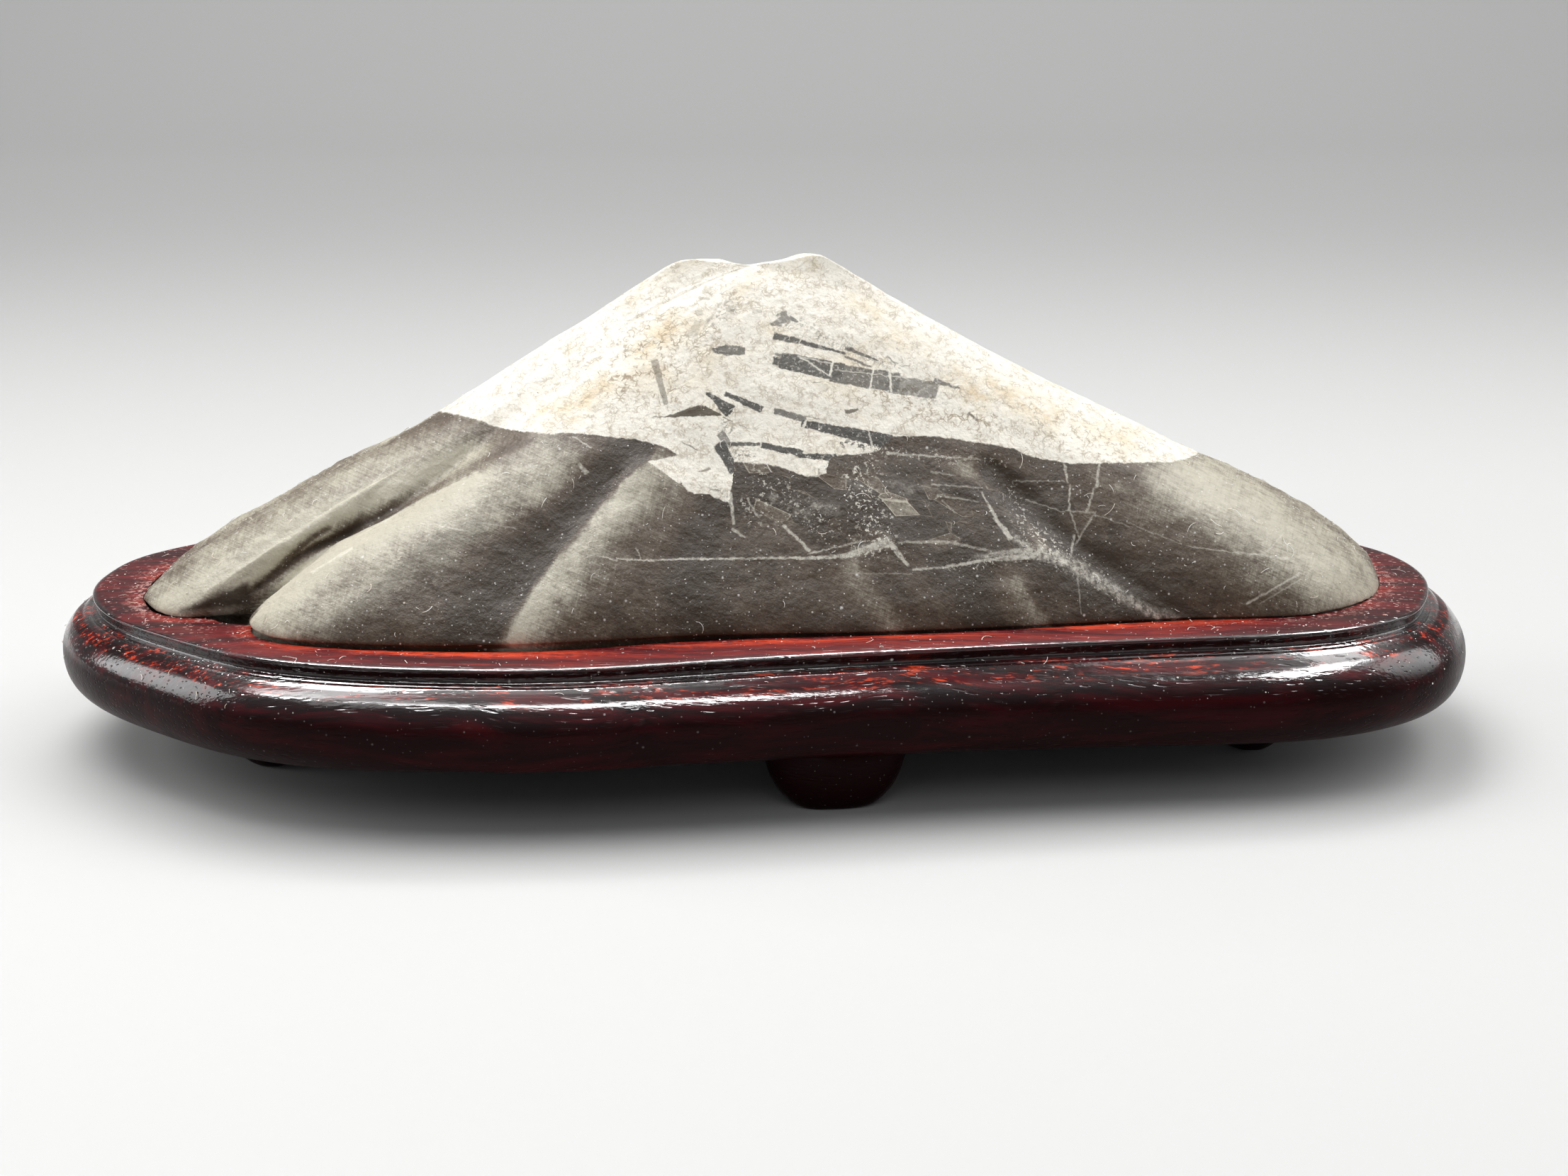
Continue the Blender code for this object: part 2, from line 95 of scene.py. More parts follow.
DIP_HEIGHTS = (19.0, 12.0)           # heights between which that is added

# ---------------------------------------------------------------- loose dust
DUST_SEED = 7
FALL_FROM, DRIFT = 0.1, 1.5          # height that dust falls from in metres, and how far it drifts
FIBRE_STEPS = 5                      # straight parts of one fibre
FIBRE_CORNERS = (0.5, 2.6, 4.7)      # the three edges of a fibre, as angles round it
FIBRE_ARCH = 0.35                    # how far its middle lifts, as a share of its length
FIBRE_RATE, FIBRE_LEAST, FIBRE_MOST = 1.6, 0.3, 2.0   # spread of lengths, shortest and longest
FIBRE_BENDS, FIBRE_RADII = (0.2, 2.4), (0.024, 0.042)   # least and most
CRUMB_CORNERS = (0.0, 1.57, 3.14, 4.71)   # the four corners round a crumb, as angles
CRUMB_WIDTHS, CRUMB_HEIGHT, CRUMB_LIFT = (0.6, 1.2), 0.6, 0.5   # shares of a crumb's radius
CRUMB_RATE, CRUMB_LEAST, CRUMB_MOST = 22.0, 0.03, 0.15   # spread of radii, smallest and largest

# ---------------------------------------------------------------- the layout sheet of the face, millimetres
EYE = (1.98, -257.54, 88.3)     # point that the face is seen from
EYE_TILT = math.radians(15.0)   # how far the line of sight looks down
EYE_REACH = 260.0               # distance to the sheet
SHEET_ZERO = (2.2, 21.0)        # across and up where the line of sight meets the sheet
CREST_Y = 2.46                  # the crest line, where the front face ends and the back begins

# Lower edge of the white cap on the front: across, up.
CAP_EDGE = [
    (-42.0, 42.6), (-39.3, 42.35), (-37.0, 41.9), (-34.5, 41.2), (-33.0, 40.5), (-30.0, 39.95),
    (-26.0, 39.6), (-23.6, 39.75), (-20.0, 39.4), (-15.8, 38.95), (-12.6, 38.2), (-10.7, 37.2),
    (-10.3, 33.5), (-8.8, 32.4), (-7.0, 32.3), (-5.2, 31.5), (-4.25, 31.2), (-3.9, 36.3), (-1.0, 36.0),
    (0.5, 35.9), (2.0, 35.5), (3.5, 34.9), (5.0, 34.5), (6.3, 34.5), (7.3, 34.9), (7.8, 36.9), (10.5, 37.1),
    (13.2, 37.4), (14.6, 38.4), (15.2, 39.3), (19.5, 39.4), (22.0, 39.1), (26.0, 38.5), (28.0, 38.2),
    (30.0, 37.8), (32.0, 36.9), (34.5, 36.4), (37.0, 36.0), (43.0, 36.1), (49.0, 36.2), (50.5, 36.5),
    (52.4, 37.2), (55.0, 37.8),
]
# The same on the back, where across runs along +X as it does on the front.
CAP_EDGE_BACK = [
    (-42.0, 42.6), (-36.0, 41.0), (-30.0, 39.0), (-24.0, 39.6), (-19.0, 37.4), (-15.5, 33.5), (-12.0, 35.0),
    (-8.0, 38.6), (-3.0, 37.2), (1.0, 34.2), (4.5, 33.6), (8.0, 37.2), (14.0, 38.6), (20.0, 36.2),
    (25.0, 35.6), (30.0, 38.4), (38.0, 37.6), (46.0, 36.4), (52.4, 37.2), (55.0, 37.8),
]

# Marks: across, up, turn in degrees, half length, half width at the start and at the end, strength.
CAP_TONGUE = [(-12.1, 35.8, -12, 2.2, 0.05, 1.9, 1.0)]
DARK_FLAKES = [
    # long bar with its nub and tail
    (5.6, 47.75, -12, 3.9, 1.0, 1.15, 0.95), (12.0, 46.4, -9, 4.2, 1.15, 1.2, 0.86),
    (17.9, 45.25, -9, 2.9, 1.15, 1.0, 0.72), (2.2, 48.35, -5, 1.3, 0.5, 0.65, 0.95),
    (21.9, 45.6, -18, 1.7, 0.34, 0.08, 0.8), (1.7, 49.2, -10, 0.65, 0.16, 0.22, 0.8),
    # thin bars above it
    (5.3, 50.45, -14, 4.5, 0.44, 0.12, 0.95), (11.6, 49.25, -21, 2.2, 0.24, 0.12, 0.85),
    (11.2, 48.35, -21, 1.8, 0.17, 0.1, 0.8), (15.3, 48.5, -33, 0.9, 0.13, 0.07, 0.6),
    (16.8, 47.8, 0, 0.7, 0.07, 0.04, 0.5),
    # oval and broken flake
    (-5.55, 49.75, 3, 0.9, 0.28, 0.72, 0.88), (-3.65, 49.7, -3, 1.15, 0.74, 0.42, 0.86),
    (1.5, 53.2, 25, 1.0, 0.18, 0.5, 0.75), (1.9, 54.1, 10, 0.7, 0.16, 0.3, 0.6),
    (1.2, 52.9, -10, 0.8, 0.12, 0.2, 0.6), (2.4, 53.8, -35, 0.8, 0.4, 0.2, 0.7),
    (3.4, 53.4, -30, 0.6, 0.32, 0.1, 0.75), (2.6, 53.0, 50, 0.5, 0.1, 0.2, 0.6),
    # wedges under the stick
    (-5.7, 43.45, -38, 1.95, 0.1, 0.85, 1.0), (-2.7, 43.5, -23, 2.45, 0.26, 0.48, 1.0),
    (2.95, 41.85, -17, 2.0, 0.4, 0.4, 0.85),
    # the long dark band and the strip below it
    (9.8, 39.75, -12, 5.6, 0.42, 0.9, 1.0), (-4.9, 38.9, -50, 1.15, 0.55, 0.25, 0.75),
    (-2.7, 38.35, 0, 2.0, 0.25, 0.22, 0.95), (1.9, 37.75, -12, 2.6, 0.36, 0.42, 1.0),
    (6.2, 36.85, -4, 2.4, 0.22, 0.5, 1.0), (-4.75, 36.7, -62, 2.0, 0.8, 0.5, 1.0),
]
BROWN_FLAKES = [
    (-10.1, 42.05, 10, 2.4, 0.04, 0.7, 1.0), (-6.6, 42.15, -11, 1.3, 0.7, 0.1, 1.0),
    (-12.9, 41.65, 0, 1.0, 0.05, 0.06, 0.8), (-12.8, 45.9, -75, 2.8, 0.48, 0.3, 0.62),
    (10.4, 42.4, 10, 0.85, 0.27, 0.12, 0.9), (25.0, 41.7, -45, 0.7, 0.15, 0.12, 0.7),
    (5.5, 41.65, -9, 1.0, 0.07, 0.04, 0.7), (6.1, 45.8, 0, 0.5, 0.08, 0.05, 0.6),
    (-9.3, 38.2, -27, 1.1, 0.06, 0.08, 0.8), (-4.6, 41.3, -28, 0.7, 0.07, 0.04, 0.8),
    (-2.7, 40.5, -25, 0.7, 0.05, 0.03, 0.6), (-7.5, 35.2, 18, 0.8, 0.06, 0.2, 0.7),
    (-6.1, 32.8, -8, 0.7, 0.14, 0.06, 0.6), (-34.5, 34.8, 17, 1.0, 0.05, 0.12, 1.0),
]
FAINT_FLAKES = [
    (-7.1, 57.1, 0, 0.6, 0.5, 0.55, 0.4), (-7.5, 56.0, 0, 0.65, 0.2, 0.18, 0.45),
    (-8.1, 54.3, 8, 0.45, 0.36, 0.4, 0.45), (-8.6, 52.2, 70, 1.2, 0.75, 0.35, 0.42),
    (-6.3, 54.2, 58, 2.0, 0.2, 0.12, 0.35), (-4.2, 54.8, -10, 0.55, 0.45, 0.4, 0.5),
    (-1.0, 54.4, 0, 0.6, 0.3, 0.25, 0.5), (-1.4, 55.6, -28, 1.2, 0.06, 0.05, 0.4),
    (3.2, 52.0, -35, 0.8, 0.06, 0.05, 0.35), (4.2, 60.0, 35, 1.2, 0.12, 0.08, 0.3),
    (28.5, 41.0, 20, 0.8, 0.08, 0.05, 0.3), (16.6, 39.55, -8, 1.6, 0.12, 0.06, 0.5),
]
# Light cracks that cross the dark flakes.
FLAKE_CRACKS = [
    (6.0, 47.75, -33, 2.2, 0.1, 0.08, 0.7), (7.95, 47.7, 76, 1.1, 0.16, 0.12, 0.85),
    (12.85, 46.5, 80, 1.5, 0.12, 0.1, 0.8), (15.1, 46.0, -84, 1.4, 0.16, 0.1, 0.8),
    (12.7, 46.9, -6, 4.4, 0.05, 0.06, 0.6), (6.0, 48.55, -13, 2.3, 0.07, 0.07, 0.6),
    (4.7, 40.85, 65, 0.5, 0.16, 0.14, 0.8), (12.7, 38.9, -75, 1.1, 0.1, 0.16, 0.55),
    (14.2, 47.5, -5, 1.9, 0.06, 0.08, 0.5), (4.2, 50.9, 60, 0.5, 0.08, 0.08, 0.7),
    (-0.6, 38.2, 70, 0.5, 0.1, 0.1, 0.6), (8.2, 36.8, -70, 0.8, 0.1, 0.1, 0.5),
]
# White veins and patches on the dark stone.
VEINS = [
    # the long level vein
    (-20.0, 24.75, -12, 2.2, 0.03, 0.07, 0.7), (-15.8, 24.35, -3, 2.4, 0.08, 0.09, 0.9),
    (-10.8, 24.45, 2, 3.2, 0.09, 0.1, 0.85), (-4.0, 24.5, 1, 4.0, 0.1, 0.12, 0.8),
    (3.0, 24.6, 0, 3.6, 0.12, 0.16, 0.8), (8.0, 24.75, 3, 2.6, 0.16, 0.28, 0.85),
    (12.4, 25.7, 17, 2.6, 0.3, 0.55, 0.85), (-15.4, 25.1, -70, 0.8, 0.04, 0.06, 0.7),
    # its upper branch, and the one that comes down from the tongue of the cap
    (8.6, 25.9, 13, 3.6, 0.07, 0.12, 0.6), (3.7, 27.0, -44, 2.3, 0.16, 0.2, 0.75),
    (-4.1, 30.6, -82, 2.0, 0.3, 0.14, 0.8), (-3.3, 27.6, -35, 1.0, 0.2, 0.12, 0.7),
    (-1.7, 30.8, -62, 1.3, 0.12, 0.1, 0.6),
    # from the cluster down to the right, and the two level veins beyond
    (16.1, 25.1, -52, 1.9, 0.34, 0.16, 0.85), (20.0, 23.35, 4, 2.2, 0.1, 0.13, 0.75),
    (25.0, 24.05, 9, 3.2, 0.14, 0.24, 0.75), (30.5, 24.7, 6, 2.8, 0.25, 0.5, 0.75),
    (19.5, 26.5, 0, 3.6, 0.12, 0.2, 0.5), (25.0, 25.9, -12, 2.4, 0.18, 0.12, 0.5),
    (29.0, 25.3, 6, 2.2, 0.12, 0.3, 0.55), (13.5, 22.7, -1, 4.2, 0.04, 0.06, 0.35),
    # the band that runs down to the right
    (27.0, 31.0, -60, 1.9, 0.1, 0.18, 0.7), (28.7, 28.2, -52, 1.7, 0.2, 0.34, 0.8),
    # upright veins and the cross threads to the right of it
    (36.35, 34.9, -78, 1.3, 0.16, 0.12, 0.75), (36.75, 31.9, 88, 1.7, 0.12, 0.1, 0.65),
    (37.4, 28.6, -72, 1.9, 0.08, 0.12, 0.5), (37.1, 26.0, 82, 1.4, 0.12, 0.14, 0.6),
    (40.2, 34.6, 82, 1.5, 0.2, 0.12, 0.7), (39.3, 31.6, 72, 1.6, 0.12, 0.09, 0.6),
    (38.7, 28.2, 58, 2.4, 0.12, 0.1, 0.45), (33.0, 33.9, 0, 3.2, 0.05, 0.07, 0.4),
    (33.8, 30.9, -17, 2.6, 0.06, 0.08, 0.45), (38.0, 30.15, -3, 1.8, 0.07, 0.1, 0.5),
    (41.8, 29.2, -20, 2.4, 0.07, 0.06, 0.4), (47.0, 27.6, -22, 3.6, 0.05, 0.07, 0.4),
    (37.9, 20.8, -84, 3.0, 0.1, 0.06, 0.4),
    # threads in the upper right of the dark stone
    (23.0, 33.3, -4, 3.0, 0.12, 0.08, 0.5), (23.3, 31.8, -9, 2.6, 0.13, 0.08, 0.5),
    (20.3, 36.9, -4, 5.8, 0.15, 0.06, 0.6), (22.1, 30.8, -42, 1.2, 0.07, 0.09, 0.4),
    # threads on the right end
    (61.5, 20.9, 30, 3.9, 0.1, 0.14, 0.6), (62.4, 20.6, 31, 3.0, 0.06, 0.1, 0.45),
    (54.2, 25.6, -8, 3.4, 0.05, 0.08, 0.5), (60.2, 24.9, -7, 3.2, 0.1, 0.14, 0.55),
    (61.7, 26.5, 48, 1.6, 0.1, 0.06, 0.5), (57.0, 30.2, -34, 5.0, 0.03, 0.05, 0.4),
    (50.0, 33.0, -38, 3.2, 0.03, 0.05, 0.35), (66.0, 23.5, 64, 1.3, 0.05, 0.06, 0.4),
    (21.5, 34.8, -8, 1.6, 0.12, 0.06, 0.4),
    # lines on the left lobes
    (-52.6, 24.3, 31, 3.0, 0.06, 0.16, 0.9), (-46.3, 29.0, 30, 3.6, 0.07, 0.1, 0.5),
    (-38.5, 33.2, 27, 4.4, 0.04, 0.07, 0.45), (-47.5, 33.6, 52, 3.0, 0.04, 0.06, 0.5),
    (-50.5, 31.0, 55, 3.2, 0.03, 0.05, 0.4), (-33.0, 28.6, -10, 3.0, 0.04, 0.07, 0.4),
    (-22.3, 38.65, -30, 1.4, 0.07, 0.1, 0.7), (-22.1, 35.4, -48, 0.8, 0.2, 0.28, 0.7),
    (-38.0, 28.2, -10, 1.6, 0.12, 0.08, 0.85), (-41.0, 28.7, 0, 1.6, 0.05, 0.08, 0.5),
    (-28.2, 35.7, 0, 0.9, 0.3, 0.12, 0.4), (-37.4, 41.95, -12, 1.8, 0.09, 0.06, 0.6),
]
PATCHES = [
    # the wide part of the band that runs down to the right
    (31.2, 26.3, -38, 1.9, 0.3, 0.5, 0.9), (34.6, 24.9, -22, 2.4, 0.7, 0.7, 0.95),
    (39.0, 22.6, -33, 3.0, 0.75, 0.6, 0.85), (44.6, 19.2, -32, 3.9, 0.65, 0.5, 0.7),
    (48.6, 17.6, -18, 1.6, 0.4, 0.2, 0.5), (28.4, 25.0, 8, 3.4, 0.2, 0.5, 0.8),
    (12.8, 25.9, 17, 2.4, 0.4, 0.6, 0.8),
    # pale flakes among the dark shards
    (7.2, 30.8, -6, 1.5, 0.32, 0.16, 0.6), (7.6, 30.1, -14, 1.1, 0.3, 0.2, 0.35),
    (4.6, 30.1, -10, 1.0, 0.2, 0.12, 0.6), (4.4, 29.5, -4, 0.8, 0.2, 0.3, 0.35),
    (16.2, 33.4, -14, 1.8, 0.22, 0.4, 0.3), (0.9, 32.0, 40, 0.3, 0.24, 0.3, 0.9),
    (16.8, 32.5, 8, 1.2, 0.16, 0.3, 0.3), (10.6, 33.6, -20, 1.5, 0.14, 0.3, 0.3),
    (20.0, 33.0, -12, 1.7, 0.3, 0.2, 0.25),
]
# Where the dark stone is peppered with white.
SPECKLE_ZONES = [
    (12.0, 31.0, -68, 5.4, 1.2, 2.0, 1.0), (-0.4, 34.0, -84, 4.4, 1.0, 0.7, 0.8),
    (1.0, 37.4, -8, 2.2, 0.8, 0.6, 0.9), (13.0, 25.8, 10, 2.6, 1.0, 1.2, 1.0),
    (34.0, 26.0, -35, 3.0, 1.5, 1.2, 1.0), (28.0, 24.3, 8, 6.0, 0.4, 0.7, 0.8),
    (17.0, 37.3, -6, 6.0, 0.5, 0.4, 0.9), (40.0, 22.0, -34, 4.0, 1.2, 1.0, 0.7),
    (-2.0, 30.0, -60, 2.0, 0.6, 0.5, 0.7), (24.0, 36.6, -3, 5.0, 0.3, 0.3, 0.8),
    (12.5, 36.6, -75, 2.2, 0.8, 0.8, 0.8), (4.5, 30.5, -40, 5.0, 1.0, 1.6, 0.6),
    (31.0, 29.5, -62, 4.0, 0.8, 1.2, 0.7),
]
# Where the dark stone is broken into shards.
SHARD_ZONES = [
    (10.0, 31.5, -8, 15.0, 3.5, 3.0, 1.0), (34.0, 30.0, -30, 8.0, 2.0, 2.0, 0.6),
    (-34.0, 26.0, 28, 9.0, 2.5, 2.5, 0.22),
]
# Where the white cap is peppered with dark.
PEPPER_ZONES = [
    (11.5, 38.2, -8, 3.0, 0.5, 0.6, 1.0), (-2.4, 36.9, -8, 1.6, 0.5, 0.5, 0.8),
    (-4.6, 40.4, -50, 1.4, 0.4, 0.5, 0.7), (20.0, 43.9, -10, 1.6, 0.4, 0.3, 0.6),
    (5.5, 52.2, -30, 4.0, 0.4, 0.6, 0.5), (-6.0, 53.6, 50, 3.0, 0.8, 0.5, 0.5),
    (12.5, 48.9, -20, 4.0, 0.3, 0.4, 0.6), (7.0, 35.3, 20, 1.0, 0.4, 0.4, 0.6),
    (-5.5, 32.6, -30, 1.6, 0.3, 0.4, 0.6),
]
# Where the slopes break off into facets turned away from the light, and in the hollow under the left lobes:
# painted shade.
SHADED_FACETS = [
    (5.6, 27.7, -30, 2.4, 1.6, 1.2, 0.55), (33.4, 30.6, -47, 6.5, 1.0, 2.0, 0.6),
    (43.5, 23.2, -33, 7.0, 1.6, 2.4, 0.6), (14.5, 35.3, -6, 5.6, 0.5, 0.75, 0.4),
    (20.5, 28.6, -8, 3.6, 0.9, 1.1, 0.35), (20.8, 25.0, 4, 3.4, 0.7, 0.6, 0.35),
    (-66.6, 19.2, 14, 4.4, 0.15, 1.5, 0.95), (-45.5, 20.0, 35, 9.0, 1.6, 3.0, 0.4),
    (-38.0, 27.0, 22, 4.2, 0.8, 1.5, 0.35),
]
# Veins of the back, and the flakes of its cap.
BACK_VEINS = [
    (-20.0, 28.0, 14, 7.0, 0.06, 0.14, 0.7), (-8.0, 27.6, -12, 6.0, 0.14, 0.2, 0.75),
    (5.0, 25.4, -8, 7.4, 0.2, 0.12, 0.7), (18.0, 26.6, 22, 6.0, 0.1, 0.24, 0.7),
    (26.0, 25.0, -46, 6.0, 0.5, 0.7, 0.6), (-30.0, 32.0, -64, 4.0, 0.16, 0.1, 0.6),
    (-2.0, 31.0, -70, 3.6, 0.26, 0.12, 0.7), (40.0, 31.0, 70, 3.4, 0.12, 0.1, 0.5),
    (-46.0, 27.0, -24, 6.0, 0.06, 0.1, 0.4), (34.0, 20.0, -12, 7.0, 0.06, 0.1, 0.4),
]
BACK_FLAKES = [
    (-8.0, 47.0, 12, 6.4, 0.9, 0.5, 0.9), (-3.0, 50.6, 18, 3.4, 0.12, 0.4, 0.8),
    (6.5, 44.4, -22, 3.6, 0.3, 0.8, 0.9), (13.0, 41.4, -14, 4.2, 0.7, 0.3, 0.95),
    (-16.0, 43.0, 8, 2.8, 0.5, 0.14, 0.8), (-1.5, 41.6, -8, 3.0, 0.2, 0.5, 0.95),
    (22.0, 43.4, -30, 1.4, 0.16, 0.3, 0.7),
]

# Painted light and shade of the slopes, as lines on the sheet: the pale ridges are painted sheen where the
# slopes turn towards the side lights, and the dark creases are painted shade in the gullies, which are also
# pressed in. Each one: points, how far its light or shade reaches above the line and below it, and how
# strong it is.
SHEEN_RIDGES = [
    ([(-10.0, 41.5), (-13.6, 37.0), (-16.5, 34.3), (-19.1, 31.5), (-21.6, 28.7), (-23.8, 26.0),
      (-26.2, 23.2), (-28.6, 20.4), (-30.6, 17.4), (-31.8, 14.5)], 0.25, 5.4, 0.86),
    ([(-27.0, 37.0), (-36.0, 34.2), (-46.0, 29.4), (-52.0, 26.4), (-57.5, 22.6), (-61.0, 18.6)],
     0.5, 6.0, 1.0),
    ([(-27.0, 38.2), (-36.0, 36.9), (-46.0, 33.0), (-56.0, 28.0), (-66.0, 22.6), (-72.0, 19.0)],
     2.8, 2.6, 1.0),
    ([(42.0, 37.0), (50.0, 34.6), (57.0, 31.6), (63.0, 27.4), (69.0, 22.4), (73.0, 19.0)], 6.0, 6.0, 0.85),
    ([(-17.0, 39.0), (-24.0, 35.0), (-34.0, 29.4), (-45.0, 23.0), (-55.0, 17.6)], 7.0, 3.4, 0.68),
    ([(-48.0, 30.6), (-55.0, 27.4), (-60.0, 23.6), (-66.0, 19.0)], 1.8, 2.4, 0.95),
    ([(-28.0, 41.5), (-40.0, 38.2), (-52.0, 33.6), (-62.0, 27.6), (-73.0, 20.4)], 2.6, 3.6, 0.62),
    ([(-17.0, 39.2), (-24.0, 36.0), (-30.0, 33.4)], 1.6, 1.2, 0.4),
    ([(9.5, 26.0), (11.6, 22.7), (14.2, 18.6), (16.4, 15.0)], 0.9, 2.4, 0.42),
    ([(29.6, 24.6), (31.2, 21.8), (33.4, 18.0), (35.0, 15.0)], 0.25, 4.2, 0.5),
    ([(21.5, 37.0), (24.4, 35.0), (27.4, 32.8), (30.8, 29.5), (33.6, 26.3)], 1.3, 1.2, 0.75),
    ([(-10.0, 33.0), (-12.0, 30.0), (-14.0, 25.0)], 2.0, 2.0, 0.25),
    ([(38.0, 36.5), (42.0, 33.5), (48.0, 30.5), (56.0, 27.5)], 2.0, 2.5, 0.4),
]
# Painted shade in the gullies, which are also pressed in.
SHADED_CREASES = [
    ([(-12.8, 38.2), (-16.3, 35.8), (-19.4, 32.6), (-22.6, 29.2), (-25.8, 25.4), (-29.1, 21.2),
      (-31.8, 17.3), (-33.4, 14.5)], 3.6, 0.3, 0.9),
    ([(-27.0, 39.6), (-32.2, 37.4), (-36.0, 35.6), (-41.0, 33.0), (-45.8, 30.6), (-50.5, 28.6),
      (-54.0, 27.2)], 0.9, 0.5, 0.35),
    ([(-52.0, 28.6), (-55.0, 27.0), (-57.4, 24.9), (-60.0, 22.4), (-63.0, 19.6)], 0.5, 0.4, 0.9),
    ([(25.6, 37.6), (29.3, 34.7), (33.4, 30.8), (36.6, 27.4), (41.0, 24.6), (47.0, 20.6), (53.0, 17.0)],
     0.35, 4.4, 0.95),
    ([(-6.0, 33.0), (-7.0, 28.0), (-8.0, 24.0), (-9.0, 16.0)], 3.0, 3.0, 0.3),
    ([(22.0, 26.0), (25.0, 21.0), (27.0, 16.0)], 3.0, 3.0, 0.35),
]

# The narrow cleft between the two left lobes: pressed in, and painted dark as shade along with the creases.
LOBE_GROOVE = [
    (-27.0, 39.6), (-32.2, 37.7), (-36.0, 35.8), (-41.0, 33.0), (-45.8, 30.4), (-50.5, 27.9), (-54.0, 26.2),
    (-57.2, 24.5), (-60.5, 21.8), (-63.5, 19.6),
]

# Tan stains of the cap, laid out as the marks are.
STAINS = [
    (-21.5, 44.0, 38, 3.0, 0.8, 0.5, 0.9), (-13.5, 50.8, 42, 3.0, 0.5, 0.7, 0.9),
    (-9.4, 52.8, -20, 1.2, 0.3, 0.4, 0.7), (24.5, 45.2, -40, 2.6, 0.6, 1.0, 0.8),
    (31.0, 43.6, -28, 5.0, 0.8, 1.4, 0.6), (4.6, 60.2, 20, 0.8, 0.2, 0.3, 0.8),
    (-8.6, 47.0, 60, 2.2, 0.4, 0.3, 0.3), (40.5, 39.8, -26, 3.6, 0.6, 0.8, 0.5),
    (12.0, 55.0, -30, 2.0, 0.3, 0.4, 0.6), (-3.0, 56.6, 60, 1.8, 0.2, 0.4, 0.5),
    (17.0, 51.0, -30, 3.0, 0.3, 0.4, 0.4), (-25.6, 42.5, 10, 2.0, 0.4, 0.4, 0.8),
]
# Where the crackle of the cap is strongest.
CRACKLE_ZONES = [
    (-15.0, 49.0, 40, 5.0, 2.0, 2.0, 1.0), (-12.0, 45.0, -70, 3.0, 2.0, 1.5, 0.8),
    (20.0, 43.0, -18, 8.0, 1.5, 1.5, 0.8), (-8.0, 42.0, -10, 4.0, 1.0, 1.0, 0.7),
    (38.0, 39.0, -20, 6.0, 1.0, 1.0, 0.6), (-6.0, 53.0, 60, 4.0, 1.0, 1.0, 0.7),
]
# Greyer parts of the cap.
GREYS = [
    (4.0, 42.0, -8, 7.0, 1.0, 1.4, 0.5), (-5.0, 52.5, 65, 3.0, 1.0, 0.8, 0.5),
    (-7.0, 38.5, -40, 3.0, 0.8, 0.8, 0.5),
]

# The front is divided into tiles, so that the material of each holds only the marks that reach it. Here:
# the sheet's divisions across and up, its ends, and the corners of the box that holds the cap's edge.
TILE_ACROSS = (-29.0, -11.0, -4.0, 2.0, 9.0, 17.0, 26.0, 37.0)
TILE_UP = (28.0, 34.5, 40.5, 46.0)
SHEET_ENDS = (-90.0, 90.0)
WHOLE_SHEET = (*SHEET_ENDS, *SHEET_ENDS)
TILE_MARGIN = 1.2      # what the wander of the edges and the size of a face can add
EDGE_CORNERS = (-42.0, 28.0), (55.0, 44.0)


def sheet(points):
    """Across and up on the layout sheet, in millimetres, of points in metres; the back is mirrored."""
    p = points / MM - (EYE[0], CREST_Y, EYE[2])
    y = CREST_Y - EYE[1] - np.abs(p[:, 1])
    forward = y * math.cos(EYE_TILT) - p[:, 2] * math.sin(EYE_TILT)
    upward = y * math.sin(EYE_TILT) + p[:, 2] * math.cos(EYE_TILT)
    return np.stack([SHEET_ZERO[0] + EYE_REACH * p[:, 0] / forward,
                     SHEET_ZERO[1] + EYE_REACH * upward / forward], axis=1)


def blend(low, high, x):
    """0 below low, 1 above high, smooth between."""
    u = np.clip((x - low) / (high - low), 0.0, 1.0)
    return u * u * (3 - 2 * u)


def side_distance(here, line):
    """Distance of each sheet point from a line, above 0 under the line and below 0 over it, and how far
    along the line the nearest point is, as a share of its length."""
    line = np.array(line, float)
    nearest, sign, travel = np.full(len(here), 1e9), np.zeros(len(here)), np.zeros(len(here))
    done = 0.0
    for start, end in zip(line, line[1:]):
        span = np.linalg.norm(end - start)
        along = (end - start) / span
        reach = np.clip((here - start) @ along, 0.0, span)
        off = here - start - reach[:, None] * along
        gap = np.linalg.norm(off, axis=1)
        closer = gap < nearest
        down = along[0] * off[:, 1] - along[1] * off[:, 0]
        if along[0] > 0:
            down = -down
        nearest = np.where(closer, gap, nearest)
        sign = np.where(closer, np.sign(down), sign)
        travel = np.where(closer, done + reach, travel)
        done += span
    return nearest * sign, travel / done


# ---------------------------------------------------------------- patterns of the finishes
# Soft noise: patches to the millimetre, detail, roughness and, in the first, distortion.
STAIN_CLOUDS = (0.12, 4.0, 0.6, 0.6)
CLOUDS, MOTTLE = (0.22, 4.0, 0.6), (1.1, 4.0, 0.7)
STAIN_BREAKS, BLOTCHES = (0.6, 3.0, 0.6), (0.9, 4.0, 0.7)
SPECKLE, PEPPER = (2.2, 3.0, 0.65), (2.1, 3.0, 0.65)
TORN, PATCHY = (1.5, 4.0, 0.72), (1.9, 3.0, 0.7)
CRACKLE_WANDER, CRACKLE_BREAKS = (0.9, 1.0, 0.6), (0.7, 3.0, 0.7)
WOBBLE = (1.3, 4.0, 0.62)
STONE_ROUGH, STONE_RELIEF = (0.8, 1.0), (0.9, 3.5, 0.62)
PORE_PATCHES, PALE_FLECKS = (0.5, 2.0), (1.7, 3.0, 0.7)
POLISH, WAVINESS = (0.6, 4.0, 0.6), (0.35, 3.0)
GRAIN_BEND = (0.03, 2.0)

